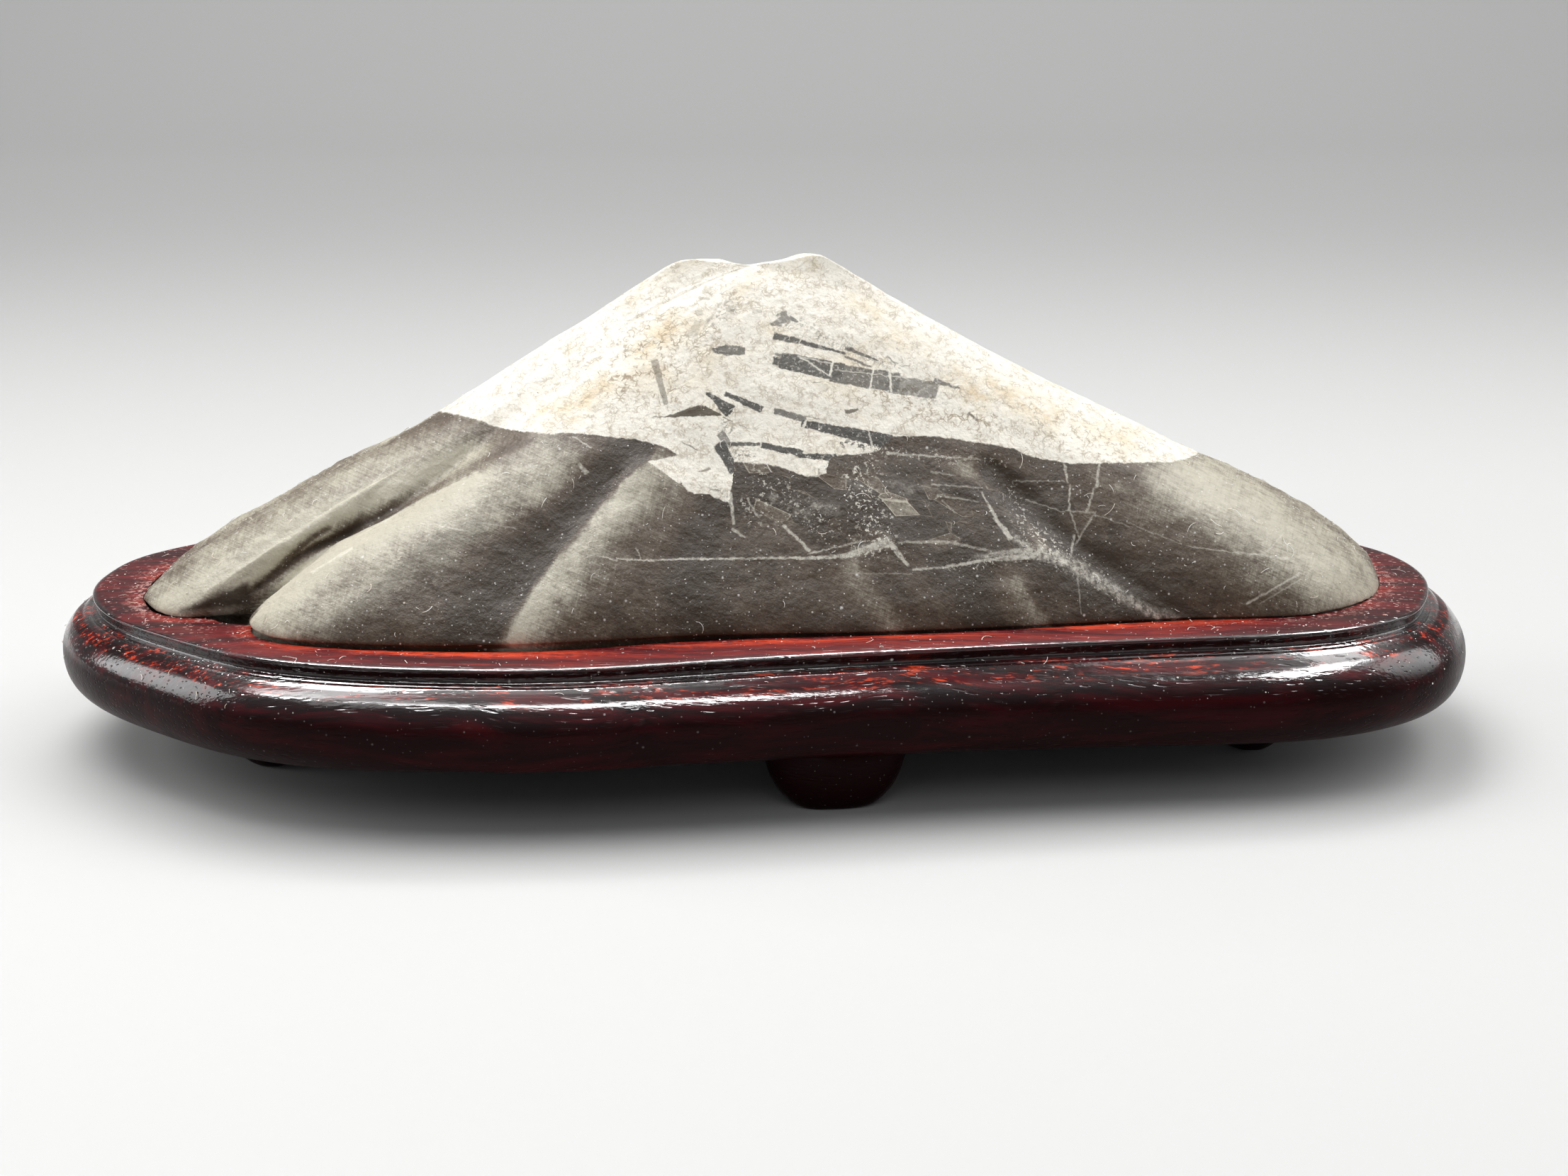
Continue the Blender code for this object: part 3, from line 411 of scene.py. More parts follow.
# Drawn-out patterns: repeats to the millimetre along each axis.
GRAIN_STREAKS, GRAIN_PORES, GRAIN_FLECKS = (0.035, 0.5, 0.5), (0.22, 1.9, 1.9), (0.3, 1.5, 1.5)
END_PORES, BRUSHED = (0.9, 1.5, 1.5), (0.4, 2.4, 2.4)
SCRATCHES, SHARDS = (0.08, 1.0, 1.0), (0.28, 0.62, 0.3)
RUBBED_TURN, UPRIGHT_TURN, SHARD_TURN = math.radians(-24.0), math.radians(76.0), math.radians(-16.0)

WOBBLE_REACH, CRACKLE_REACH, GRAIN_SWAY = 0.62, 1.6, 9.0   # how far a noise moves what it bends
SHARD_SHARE = 1.5       # how much the shards count among the other changes of the slopes
DUST_SIZES = ((2.4, 0.2, 0.45), (1.2, 0.16, 0.4), (0.5, 0.09, 0.5))   # cells to a millimetre, reach, share
CORNER_ROUND = 0.25     # rounding of a mark's corners
MARK_EDGE, VEIN_EDGE, SOFT_EDGE, STAIN_EDGE, ZONE_EDGE = 0.08, 0.1, 0.5, 2.0, 3.0   # softness of edges
SPECKLE_EDGE, PEPPER_EDGE = 0.9, 0.8
STONE_DEPTH, LACQUER_DEPTH = 1.0, 0.16   # depth of the fine relief

# Bands of the stand by height: where each one fades in and, if it ends, fades out.
LEDGE_BAND, SHOULDER_BAND = (19.5, 19.65), (15.8, 16.6, 17.5, 17.8)
# The cove under the rim is painted dark as shade.
COVE_SHADE_BAND, DULL_BAND = (17.6, 17.9, 19.0, 19.3), (16.25, 16.5, 17.1, 17.25)
# Painted shade: the lower side is darkened, and the feet under the stand fully.
SIDE_BAND, FOOT_SHADE_BAND = (15.6, 13.5), (8.2, 7.0)
ENDS_FROM, MIDDLE_WITHIN = (52.0, 72.0), (68.0, 40.0)   # distances from the middle, along X


# ---------------------------------------------------------------- building node trees

class Web:
    """Adds nodes to a tree, feeds each input a value or another node's output, and gives back the output.
    Its tile is the part of the sheet that the tree's material covers."""

    def __init__(self, tree, tile=WHOLE_SHEET):
        self.tree = tree
        self.tile = tile

    def add(self, kind, **settings):
        """A new node of this kind, set out in rows of twelve."""
        node = self.tree.nodes.new(kind)
        for name, value in settings.items():
            setattr(node, name, value)
        node.location = (220.0 * (len(self.tree.nodes) % 12), -180.0 * (len(self.tree.nodes) // 12))
        return node

    def feed(self, socket, value):
        """Links another node's output to the socket, or sets the socket to a value."""
        if isinstance(value, bpy.types.NodeSocket):
            self.tree.links.new(value, socket)
        elif value is not None:
            socket.default_value = value

    def math(self, operation, *values):
        """One sum on numbers."""
        node = self.add("ShaderNodeMath", operation=operation)
        for socket, value in zip(node.inputs, values):
            self.feed(socket, value)
        return node.outputs[0]

    def vector(self, operation, *values, scale=None):
        """One sum on vectors."""
        node = self.add("ShaderNodeVectorMath", operation=operation)
        for socket, value in zip(node.inputs, values):
            self.feed(socket, value)
        if scale is not None:
            self.feed(node.inputs["Scale"], scale)
        return node.outputs["Vector"]

    def split(self, vector):
        """The three numbers of a vector."""
        node = self.add("ShaderNodeSeparateXYZ")
        self.feed(node.inputs[0], vector)
        return node.outputs

    def join(self, x, y, z=0.0):
        """A vector of three numbers."""
        node = self.add("ShaderNodeCombineXYZ")
        for socket, value in zip(node.inputs, (x, y, z)):
            self.feed(socket, value)
        return node.outputs[0]

    def step(self, value, low, high, out_low=0.0, out_high=1.0):
        """Smooth change from out_low to out_high as value goes from low to high."""
        node = self.add("ShaderNodeMapRange", interpolation_type="SMOOTHSTEP")
        for name, given in (("Value", value), ("From Min", low), ("From Max", high),
                            ("To Min", out_low), ("To Max", out_high)):
            self.feed(node.inputs[name], given)
        return node.outputs["Result"]

    def band(self, value, edges, most=1.0):
        """A band of values: fades in between the first two edges and out between the last two."""
        rise = self.step(value, edges[0], edges[1])
        return self.math("MULTIPLY", rise, self.step(value, edges[2], edges[3], most, 0.0))

    def mix(self, share, first, second):
        """Mix of two colours."""
        node = self.add("ShaderNodeMix", data_type="RGBA", clamp_factor=True)
        self.feed(node.inputs["Factor"], share)
        for socket, value in ((node.inputs[6], first), (node.inputs[7], second)):
            self.feed(socket, (*value, 1.0) if isinstance(value, tuple) and len(value) == 3 else value)
        return node.outputs[2]

    def between(self, share, first, second):
        """Mix of two numbers."""
        node = self.add("ShaderNodeMix", data_type="FLOAT", clamp_factor=True)
        for socket, value in zip((node.inputs[0], node.inputs[2], node.inputs[3]), (share, first, second)):
            self.feed(socket, value)
        return node.outputs[0]

    def noise(self, vector, scale, detail=2.0, roughness=0.5, distortion=0.0, output="Fac"):
        """Soft cloudy noise, in patches of about 1 / scale."""
        node = self.add("ShaderNodeTexNoise")
        for name, given in (("Vector", vector), ("Scale", scale), ("Detail", detail),
                            ("Roughness", roughness), ("Distortion", distortion)):
            self.feed(node.inputs[name], given)
        return node.outputs[output]

    def cells(self, vector, feature="F1", output="Distance"):
        """Cells of size 1 round scattered points: the distance to a point or an edge, or a colour each."""
        node = self.add("ShaderNodeTexVoronoi", feature=feature)
        for name, given in (("Vector", vector), ("Scale", 1.0)):
            self.feed(node.inputs[name], given)
        return node.outputs[output]

    def curve(self, value, points, low, high):
        """A curve through the (x, y) points, for x and y between the two corners low and high."""
        node = self.add("ShaderNodeFloatCurve")
        spans = [b - a for a, b in zip(low, high)]
        scaled = [((x - low[0]) / spans[0], (y - low[1]) / spans[1]) for x, y in points]
        line = node.mapping.curves[0]
        line.points[0].location, line.points[1].location = scaled[0], scaled[-1]
        for place in scaled[1:-1]:
            line.points.new(*place)
        for point in line.points:
            point.handle_type = "VECTOR"
        node.mapping.update()
        self.feed(node.inputs["Value"], self.math("MULTIPLY_ADD", value, 1 / spans[0], -low[0] / spans[0]))
        return self.math("MULTIPLY_ADD", node.outputs[0], spans[1], low[1])

    def group(self, name, output=0, **values):
        """A shared group with its own values: one of its outputs, or all of them where output is None."""
        node = self.add("ShaderNodeGroup", node_tree=bpy.data.node_groups[name])
        for key, value in values.items():
            self.feed(node.inputs[key.replace("_", " ")], value)
        return node.outputs if output is None else node.outputs[output]


def new_group(name, inputs, outputs):
    """An empty shader node group: (web, inputs by name, the output node)."""
    tree = bpy.data.node_groups.new(name, "ShaderNodeTree")
    for label, kind, default in inputs:
        socket = tree.interface.new_socket(name=label, in_out="INPUT", socket_type="NodeSocket" + kind)
        socket.default_value = default
    for label, kind in outputs:
        tree.interface.new_socket(name=label, in_out="OUTPUT", socket_type="NodeSocket" + kind)
    web = Web(tree)
    return web, web.add("NodeGroupInput").outputs, web.add("NodeGroupOutput").inputs


def sheet_group():
    """Where the surface lies on the layout sheet, and its place in millimetres."""
    web, _, out = new_group("Face sheet", [], [("Sheet", "Vector"), ("Place", "Vector")])
    coordinates = web.add("ShaderNodeTexCoord").outputs["Object"]
    place = web.vector("SCALE", coordinates, scale=1 / MM)
    x, y, z = web.split(web.vector("SUBTRACT", place, (EYE[0], CREST_Y, EYE[2])))
    depth = web.math("SUBTRACT", CREST_Y - EYE[1], web.math("ABSOLUTE", y))
    cosine, sine = math.cos(EYE_TILT), math.sin(EYE_TILT)
    forward = web.math("MULTIPLY_ADD", z, -sine, web.math("MULTIPLY", depth, cosine))
    upward = web.math("MULTIPLY_ADD", z, cosine, web.math("MULTIPLY", depth, sine))
    reach = web.math("DIVIDE", EYE_REACH, forward)
    across = web.math("MULTIPLY_ADD", x, reach, SHEET_ZERO[0])
    up = web.math("MULTIPLY_ADD", upward, reach, SHEET_ZERO[1])
    web.feed(out["Sheet"], web.join(across, up))
    web.feed(out["Place"], place)


def mark_group():
    """One straight mark on the sheet, wider at one end than at the other: 1 on it, 0 off it."""
    web, given, out = new_group(
        "Mark",
        [("Across", "Float", 0.0), ("Up", "Float", 0.0), ("Centre across", "Float", 0.0),
         ("Centre up", "Float", 0.0), ("Turn cosine", "Float", 1.0), ("Turn sine", "Float", 0.0),
         ("Half length", "Float", 1.0), ("Half width", "Float", 1.0), ("Taper", "Float", 0.0),
         ("Softness", "Float", MARK_EDGE), ("Strength", "Float", 1.0)],
        [("Mask", "Float")])
    cosine, sine = given["Turn cosine"], given["Turn sine"]
    a = web.math("SUBTRACT", given["Across"], given["Centre across"])
    u = web.math("SUBTRACT", given["Up"], given["Centre up"])
    x = web.math("MULTIPLY_ADD", u, sine, web.math("MULTIPLY", a, cosine))
    y = web.math("MULTIPLY_ADD", a, web.math("MULTIPLY", sine, -1.0), web.math("MULTIPLY", u, cosine))
    half_width = web.math("MULTIPLY_ADD", given["Taper"], x, given["Half width"])
    side = web.math("SUBTRACT", web.math("ABSOLUTE", y), half_width)
    end = web.math("SUBTRACT", web.math("ABSOLUTE", x), given["Half length"])
    outside = web.math("SMOOTH_MAX", side, end, CORNER_ROUND)
    soft = given["Softness"]
    mask = web.step(outside, web.math("MULTIPLY", soft, -1.0), soft, 1.0, 0.0)
    web.feed(out["Mask"], web.math("MULTIPLY", mask, given["Strength"]))


def marks(web, where, layout, softness=MARK_EDGE):
    """All the marks of a layout together, without those that can't reach the web's tile. They are worked out
    from plain numbers only, because turning vectors into numbers in each mark would overfill the shader."""
    total = None
    for across, up, turn, half_length, start, end, strength in layout:
        cosine, sine = math.cos(math.radians(turn)), math.sin(math.radians(turn))
        width, around = max(start, end), softness + TILE_MARGIN
        reach_across = half_length * abs(cosine) + width * abs(sine) + around
        reach_up = half_length * abs(sine) + width * abs(cosine) + around
        low_across, high_across, low_up, high_up = web.tile
        if not (low_across - reach_across < across < high_across + reach_across
                and low_up - reach_up < up < high_up + reach_up):
            continue
        mask = web.group("Mark", Across=where[0], Up=where[1], Centre_across=across, Centre_up=up,
                         Turn_cosine=cosine, Turn_sine=sine, Half_length=half_length,
                         Half_width=(start + end) / 2, Taper=(end - start) / (2 * half_length),
                         Softness=softness, Strength=strength)
        total = mask if total is None else web.math("MAXIMUM", total, mask)
    return 0.0 if total is None else total


def dust_group():
    """Pale dust: scattered specks of three sizes."""
    web, given, out = new_group("Dust", [("Place", "Vector", (0, 0, 0)), ("Amount", "Float", 0.5)],
                                [("Mask", "Float")])
    total = None
    for scale, size, share in DUST_SIZES:
        cell = web.add("ShaderNodeTexVoronoi")
        web.feed(cell.inputs["Vector"], given["Place"])
        web.feed(cell.inputs["Scale"], scale)
        pick = web.split(cell.outputs["Color"])
        chosen = web.math("LESS_THAN", pick[0], web.math("MULTIPLY", given["Amount"], share))
        reach = web.math("MULTIPLY", web.math("MULTIPLY_ADD", pick[1], 1.2, 0.4), size)
        speck = web.math("MULTIPLY", chosen, web.step(cell.outputs["Distance"], reach, 0.0))
        total = speck if total is None else web.math("MAXIMUM", total, speck)
    web.feed(out["Mask"], total)


def crackle_group():
    """Short broken hairlines, as in old glaze: 1 on a line."""
    web, given, out = new_group("Crackle", [("Place", "Vector", (0, 0, 0)), ("Size", "Float", 1.0)],
                                [("Mask", "Float")])
    wander = web.noise(given["Place"], *CRACKLE_WANDER, output="Color")
    moved = web.vector("ADD", given["Place"], web.vector("SCALE", wander, scale=CRACKLE_REACH))
    moved = web.vector("DIVIDE", moved, web.join(given["Size"], given["Size"], given["Size"]))
    edge = web.cells(moved, feature="DISTANCE_TO_EDGE")
    line = web.step(edge, 0.03, 0.13, 1.0, 0.0)
    broken = web.step(web.noise(given["Place"], *CRACKLE_BREAKS), 0.42, 0.6)
    web.feed(out["Mask"], web.math("MULTIPLY", line, broken))


def streak_group():
    """Fine parallel scratches along one direction of the sheet, centred on 0."""
    web, given, out = new_group(
        "Streaks", [("Sheet", "Vector", (0, 0, 0)), ("Turn", "Float", 0.0), ("Fineness", "Float", 4.0)],
        [("Value", "Float")])
    turn = web.add("ShaderNodeVectorRotate", rotation_type="Z_AXIS", invert=True)
    web.feed(turn.inputs["Vector"], given["Sheet"])
    web.feed(turn.inputs["Angle"], given["Turn"])
    drawn = web.vector("MULTIPLY", turn.outputs[0], SCRATCHES)
    scratches = web.noise(drawn, given["Fineness"], 3.0, 0.7)
    web.feed(out["Value"], web.math("SUBTRACT", scratches, 0.5))


def shard_group():
    """Angular shards, longer across than up, each a little lighter or darker than the next, centred on 0."""
    web, given, out = new_group("Shards", [("Sheet", "Vector", (0, 0, 0))], [("Value", "Float")])
    turn = web.add("ShaderNodeVectorRotate", rotation_type="Z_AXIS", invert=True)
    web.feed(turn.inputs["Vector"], given["Sheet"])
    turn.inputs["Angle"].default_value = SHARD_TURN
    stretched = web.vector("MULTIPLY", turn.outputs[0], SHARDS)
    shade = web.split(web.cells(stretched, output="Color"))[0]
    rim = web.step(web.cells(stretched, feature="DISTANCE_TO_EDGE"), 0.0, 0.05, 0.35, 0.0)
    web.feed(out["Value"], web.math("ADD", web.step(shade, 0.0, 1.0, -0.55, 0.26), rim))


def grain_group():
    """Wood grain along X: streaks of light and dark, and the open pores between them."""
    web, given, out = new_group("Wood grain", [("Place", "Vector", (0, 0, 0))],
                                [("Streak", "Float"), ("Pore", "Float"), ("Fleck", "Float")])
    bend = web.vector("SCALE", web.noise(given["Place"], *GRAIN_BEND, output="Color"), scale=GRAIN_SWAY)
    bent = web.vector("ADD", given["Place"], bend)
    streak = web.noise(web.vector("MULTIPLY", bent, GRAIN_STREAKS), 1.0, 5.0, 0.62)
    pore = web.cells(web.vector("MULTIPLY", bent, GRAIN_PORES))
    fleck = web.noise(web.vector("MULTIPLY", bent, GRAIN_FLECKS), 1.0, 3.0, 0.7)
    web.feed(out["Streak"], streak)
    web.feed(out["Pore"], web.step(pore, 0.1, 0.32, 1.0, 0.0))
    web.feed(out["Fleck"], fleck)


def new_material(name, tile=WHOLE_SHEET):
    """A material with the plain shader: (material, web, shader)."""
    material = bpy.data.materials.new(name)
    material.use_nodes = True
    return material, Web(material.node_tree, tile), material.node_tree.nodes["Principled BSDF"]


def bumped(web, height, distance_mm, strength):
    """A normal that follows a height, as far as distance_mm deep."""
    node = web.add("ShaderNodeBump")
    web.feed(node.inputs["Height"], height)
    node.inputs["Distance"].default_value = distance_mm * MM
    node.inputs["Strength"].default_value = strength
    return node.outputs["Normal"]


def attribute(web, name):
    """A number stored on the piece's corners."""
    return web.add("ShaderNodeAttribute", attribute_name=name).outputs["Fac"]


def slope_colour(web, flat, place, settings):
    """Colour of the grey-brown slopes before veins and dust: painted sheen on the ridges, painted shade in
    the creases, faint scratches.
    """
    pale, crease = attribute(web, "pale"), attribute(web, "crease")
    clouds = web.math("SUBTRACT", web.noise(place, *CLOUDS), 0.5)
    mottle = web.math("SUBTRACT", web.noise(place, *MOTTLE), 0.5)
    rubbed = web.group("Streaks", Sheet=flat, Turn=RUBBED_TURN, Fineness=5.0)
    upright = web.group("Streaks", Sheet=flat, Turn=UPRIGHT_TURN, Fineness=4.0)
    lift = pale
    for pattern, share in ((clouds, 0.8), (mottle, 0.65), (rubbed, 0.7), (upright, 0.45), (crease, -0.9)):
        lift = web.math("MULTIPLY_ADD", pattern, share, lift)
    broken = marks(web, web.split(flat), SHARD_ZONES, ZONE_EDGE)
    if broken != 0.0:
        shards = web.group("Shards", Sheet=flat)
        lift = web.math("MULTIPLY_ADD", broken, web.math("MULTIPLY", shards, SHARD_SHARE), lift)
    # Low lift, mostly the painted shade of the creases, takes the deep colour; high lift, mostly the painted
    # sheen of the ridges, takes the ridge colour.
    colour = web.mix(web.step(lift, -0.25, 0.3), settings.deep[:], settings.slope[:])
    return web.mix(web.step(lift, 0.15, 1.0), colour, settings.ridge_sheen[:])


def cap_colour(web, where, place, settings):
    """Colour of the white cap: cream, with tan stains, greyer parts and a brown crackle."""
    cloud = web.noise(place, *STAIN_CLOUDS)
    colour = web.mix(web.step(cloud, 0.5, 0.75, 0.0, 0.32), settings.cap[:], settings.stain[:])
    uneven = web.step(web.noise(place, *STAIN_BREAKS), 0.3, 0.6)
    stains = web.math("MULTIPLY", marks(web, where, STAINS, STAIN_EDGE), uneven)
    colour = web.mix(stains, colour, settings.stain[:])
    greys = web.math("MULTIPLY", marks(web, where, GREYS, ZONE_EDGE), 0.6)
    colour = web.mix(greys, colour, settings.grey[:])
    blotch = web.noise(place, *BLOTCHES)
    colour = web.mix(web.step(blotch, 0.54, 0.72, 0.0, 0.2), colour, settings.grey[:])
    cracked = web.math("MULTIPLY_ADD", marks(web, where, CRACKLE_ZONES, ZONE_EDGE), 0.5, 0.5)
    coarse = web.math("MULTIPLY", web.group("Crackle", Place=place, Size=0.95), cracked)
    fine = web.math("MULTIPLY", web.group("Crackle", Place=place, Size=0.55), 0.36)
    return web.mix(web.math("MAXIMUM", coarse, fine), colour, settings.crackle[:])


def edge_heights(points, low, high):
    """Lowest and highest of the cap's edge between two places across the sheet."""
    across, up = np.array(points).T
    inside = [height for place, height in points if low <= place <= high]
    inside += list(np.interp([low, high], across, up))
    return min(inside), max(inside)


def snow_mask(web, where, behind):
    """Where the white cap lies, and whether the web's tile holds any of the cap and any of the slopes."""
    edge_points = CAP_EDGE_BACK if behind else CAP_EDGE
    low_across, high_across, low_up, high_up = web.tile
    lowest, highest = edge_heights(edge_points, low_across - TILE_MARGIN, high_across + TILE_MARGIN)
    has_cap, has_slope = high_up + TILE_MARGIN > lowest, low_up - TILE_MARGIN < highest
    snow = 1.0 if has_cap else 0.0
    if has_cap and has_slope:
        edge = web.curve(where[0], edge_points, *EDGE_CORNERS)
        snow = web.step(web.math("SUBTRACT", where[1], edge), -0.1, 0.1)
        if not behind:
            snow = web.math("MAXIMUM", snow, marks(web, where, CAP_TONGUE))
    return snow, has_cap, has_slope


def vein_mask(web, where, place, speckle, behind):
    """Where the pale veins, their torn patches and the speckle show on the slopes."""
    veins = marks(web, where, BACK_VEINS if behind else VEINS, VEIN_EDGE)
    if not behind:
        torn = web.step(web.noise(place, *TORN), 0.36, 0.62, 0.15, 1.0)
        patches = web.math("MULTIPLY", marks(web, where, PATCHES, SOFT_EDGE), torn)
        veins = web.math("MAXIMUM", veins, patches)
    patchy = web.step(web.noise(place, *PATCHY), 0.3, 0.6, 0.3, 1.0)
    scatter = web.math("MULTIPLY", marks(web, where, SPECKLE_ZONES, SPECKLE_EDGE), speckle)
    return web.math("MAXIMUM", web.math("MULTIPLY", veins, patchy), scatter)


def flaked_cap(web, where, place, speckle, settings, behind):
    """The cap's colour with the flakes and the pepper of darker stone in it."""
    cap = cap_colour(web, where, place, settings)
    flake = web.mix(web.math("MULTIPLY", speckle, 0.5), settings.flake[:], settings.grey[:])
    cap = web.mix(marks(web, where, BACK_FLAKES if behind else DARK_FLAKES), cap, flake)
    pepper = web.step(web.noise(place, *PEPPER), 0.52, 0.58)
    pepper = web.math("MULTIPLY", marks(web, where, PEPPER_ZONES, PEPPER_EDGE), pepper)
    cap = web.mix(pepper, cap, settings.flake[:])
    if behind:
        return cap
    for layout, colour in ((BROWN_FLAKES, settings.brown), (FAINT_FLAKES, settings.faint),
                           (FLAKE_CRACKS, settings.cap)):
        cap = web.mix(marks(web, where, layout), cap, colour[:])
    return cap


def stone_material(name, settings, tile, behind):
    """The finish of one tile of the stone's front, or of its back, with the markings that reach it."""
    material, web, shader = new_material(name, tile)
    layout = web.group("Face sheet", output=None)
    flat, place = layout["Sheet"], layout["Place"]
    wobble = web.vector("SUBTRACT", web.noise(place, *WOBBLE, output="Color"), (0.5, 0.5, 0.5))
    where = web.split(web.vector("ADD", flat, web.vector("SCALE", wobble, scale=WOBBLE_REACH)))
    snow, has_cap, has_slope = snow_mask(web, where, behind)

    speckle = web.step(web.noise(place, *SPECKLE), 0.56, 0.63)
    veins, colour = 0.0, None
    if has_slope:
        colour = slope_colour(web, flat, place, settings)
        if not behind:
            # Painted shade on the facets turned from the light and in the hollow.
            colour = web.mix(marks(web, where, SHADED_FACETS, SOFT_EDGE), colour, settings.deep[:])
        veins = vein_mask(web, where, place, speckle, behind)
        colour = web.mix(veins, colour, settings.vein[:])
    if has_cap:
        cap = flaked_cap(web, where, place, speckle, settings, behind)
        colour = web.mix(snow, colour, cap) if colour else cap
    dust = web.group("Dust", Place=place, Amount=settings.dust)
    colour = web.mix(web.math("MULTIPLY", dust, 0.95), colour, settings.speck[:])
    web.feed(shader.inputs["Base Color"], colour)

    rough = web.between(snow, web.between(veins, 0.5, 0.56), 0.6)
    rough = web.math("ADD", rough, web.math("MULTIPLY", web.noise(place, *STONE_ROUGH), 0.12))
    web.feed(shader.inputs["Roughness"], rough)
    relief = web.math("MULTIPLY", web.noise(place, *STONE_RELIEF), 0.4)
    web.feed(shader.inputs["Normal"], bumped(web, relief, STONE_DEPTH, 0.6))
    shader.inputs["Specular IOR Level"].default_value = 0.12
    return material


def stand_parts(web, place):
    """Masks for the parts of the stand, by height and by distance from the middle."""
    along, z = web.math("ABSOLUTE", web.split(place)[0]), attribute(web, "level")
    return {
        "ledge": web.step(z, *LEDGE_BAND),
        "inner": attribute(web, "inner"),
        "shoulder": web.band(z, SHOULDER_BAND),
        "dull": web.band(z, DULL_BAND, 0.85),
        "cove_shade": web.band(z, COVE_SHADE_BAND),
        "side": web.step(z, *SIDE_BAND),
        "foot": web.step(z, *FOOT_SHADE_BAND, 0.8, 1.0),
        "ends": web.step(along, *ENDS_FROM),
        "middle": web.step(along, *MIDDLE_WITHIN, 0.25, 1.0),
    }


def lacquer_colour(web, on, grain, settings):
    """The lacquer before pores and dust: red on the ledge, and worn through there and on the shoulder."""
    streak, fleck = grain["Streak"], grain["Fleck"]
    colour = web.mix(web.step(streak, 0.42, 0.72, 0.0, 0.7), settings.dark[:], settings.red[:])
    red = web.math("MULTIPLY", on["ledge"], web.step(streak, 0.3, 0.55, 0.45, 0.95))
    red = web.math("MULTIPLY", red, web.math("MULTIPLY_ADD", on["ends"], -0.45, 1.0))
    red = web.math("MULTIPLY", red, web.math("MULTIPLY_ADD", on["inner"], 0.45, 0.55))
    colour = web.mix(red, colour, settings.red[:])
    worn = web.math("MULTIPLY", web.math("MULTIPLY", on["ledge"], on["middle"]), web.step(fleck, 0.34, 0.52))
    worn = web.math("MULTIPLY", worn, web.math("MULTIPLY_ADD", on["inner"], 0.85, 0.15))
    worn = web.math("MAXIMUM", worn, web.math("MULTIPLY", on["shoulder"], web.step(fleck, 0.53, 0.66)))
    worn = web.math("MULTIPLY", worn, web.step(streak, 0.42, 0.58))
    colour = web.mix(worn, colour, settings.worn[:])
    # Painted shade in the cove under the rim.
    colour = web.mix(web.math("MULTIPLY", on["cove_shade"], 0.8), colour, settings.dark[:])
    # Painted shade on the lower side as it turns under, and most on the feet in the shadow under the stand.
    return web.mix(web.math("MULTIPLY", on["side"], on["foot"]), colour, settings.dark[:])


def pale_pores(web, on, place):
    """Where pale pores and flecks show on the ledge: mostly at the ends, and fewer near the stone."""
    cell = web.cells(web.vector("MULTIPLY", place, END_PORES))
    pore = web.step(cell, 0.14, 0.3, 1.0, 0.0)
    pore = web.math("MULTIPLY", pore, web.math("MULTIPLY", on["ends"], on["ledge"]))
    pore = web.math("MULTIPLY", pore, web.step(web.noise(place, *PORE_PATCHES), 0.4, 0.6))
    flecks = web.step(web.noise(place, *PALE_FLECKS), 0.53, 0.6)
    flecks = web.math("MULTIPLY", flecks, web.math("MULTIPLY", on["inner"], on["ledge"]))
    flecks = web.math("MULTIPLY", flecks, web.math("MULTIPLY_ADD", on["ends"], 0.95, 0.15))
    return web.math("MAXIMUM", pore, flecks)


def lacquer_material(settings):
    """Lacquered rosewood: near black, red where the polish has thinned on ledges and edges."""
    material, web, shader = new_material("lacquered rosewood")
    coordinates = web.add("ShaderNodeTexCoord").outputs["Object"]
    place = web.vector("SCALE", coordinates, scale=1 / MM)
    on = stand_parts(web, place)
    grain = web.group("Wood grain", output=None, Place=place)
    pore = pale_pores(web, on, place)
    colour = lacquer_colour(web, on, grain, settings)
    colour = web.mix(web.math("MULTIPLY", pore, 0.8), colour, settings.pore[:])
    dust = web.group("Dust", Place=place, Amount=settings.dust)
    dust = web.math("MULTIPLY", dust, web.math("MULTIPLY_ADD", on["side"], -0.8, 0.92))
    web.feed(shader.inputs["Base Color"], web.mix(dust, colour, settings.speck[:]))

    rough = web.math("MULTIPLY_ADD", web.noise(place, *POLISH), 0.2, 0.22)
    rough = web.math("MULTIPLY_ADD", on["ledge"], 0.15, rough)
    web.feed(shader.inputs["Roughness"], web.math("MULTIPLY_ADD", dust, 0.3, rough))
    relief = web.math("MULTIPLY", grain["Pore"], -0.5)
    relief = web.math("MULTIPLY_ADD", web.noise(place, *WAVINESS), 0.6, relief)
    brushed = web.noise(web.vector("MULTIPLY", place, BRUSHED), 1.0, 3.0)
    relief = web.math("MULTIPLY_ADD", brushed, 0.5, relief)
    normal = bumped(web, web.math("MULTIPLY_ADD", pore, -0.4, relief), LACQUER_DEPTH, 0.4)
    web.feed(shader.inputs["Normal"], normal)
    web.feed(shader.inputs["Coat Normal"], normal)
    coat = web.math("MULTIPLY_ADD", on["side"], -0.97, 1.0)
    coat = web.math("MULTIPLY", coat, web.math("SUBTRACT", 1.0, on["dull"]))
    web.feed(shader.inputs["Coat Weight"], web.math("MULTIPLY_ADD", on["ledge"], -0.88, coat))
    shader.inputs["Coat Roughness"].default_value = 0.08
    shader.inputs["Specular IOR Level"].default_value = 0.05
    return material


def dust_material(settings):
    """House dust: pale fibres and crumbs, some warmer than others."""
    material, web, shader = new_material("house dust")
    place = web.vector("SCALE", web.add("ShaderNodeTexCoord").outputs["Object"], scale=1 / MM)
    tint = web.noise(place, 0.6, 2.0)
    colour = web.mix(web.step(tint, 0.4, 0.62), settings.pale[:], settings.warm[:])
    web.feed(shader.inputs["Base Color"], colour)
    shader.inputs["Roughness"].default_value = 0.8
    shader.inputs["Sheen Weight"].default_value = 0.3
    return material


# ---------------------------------------------------------------- pieces

def deselect():
    """Leaves nothing selected."""
    for thing in list(bpy.context.selected_objects):
        thing.select_set(False)


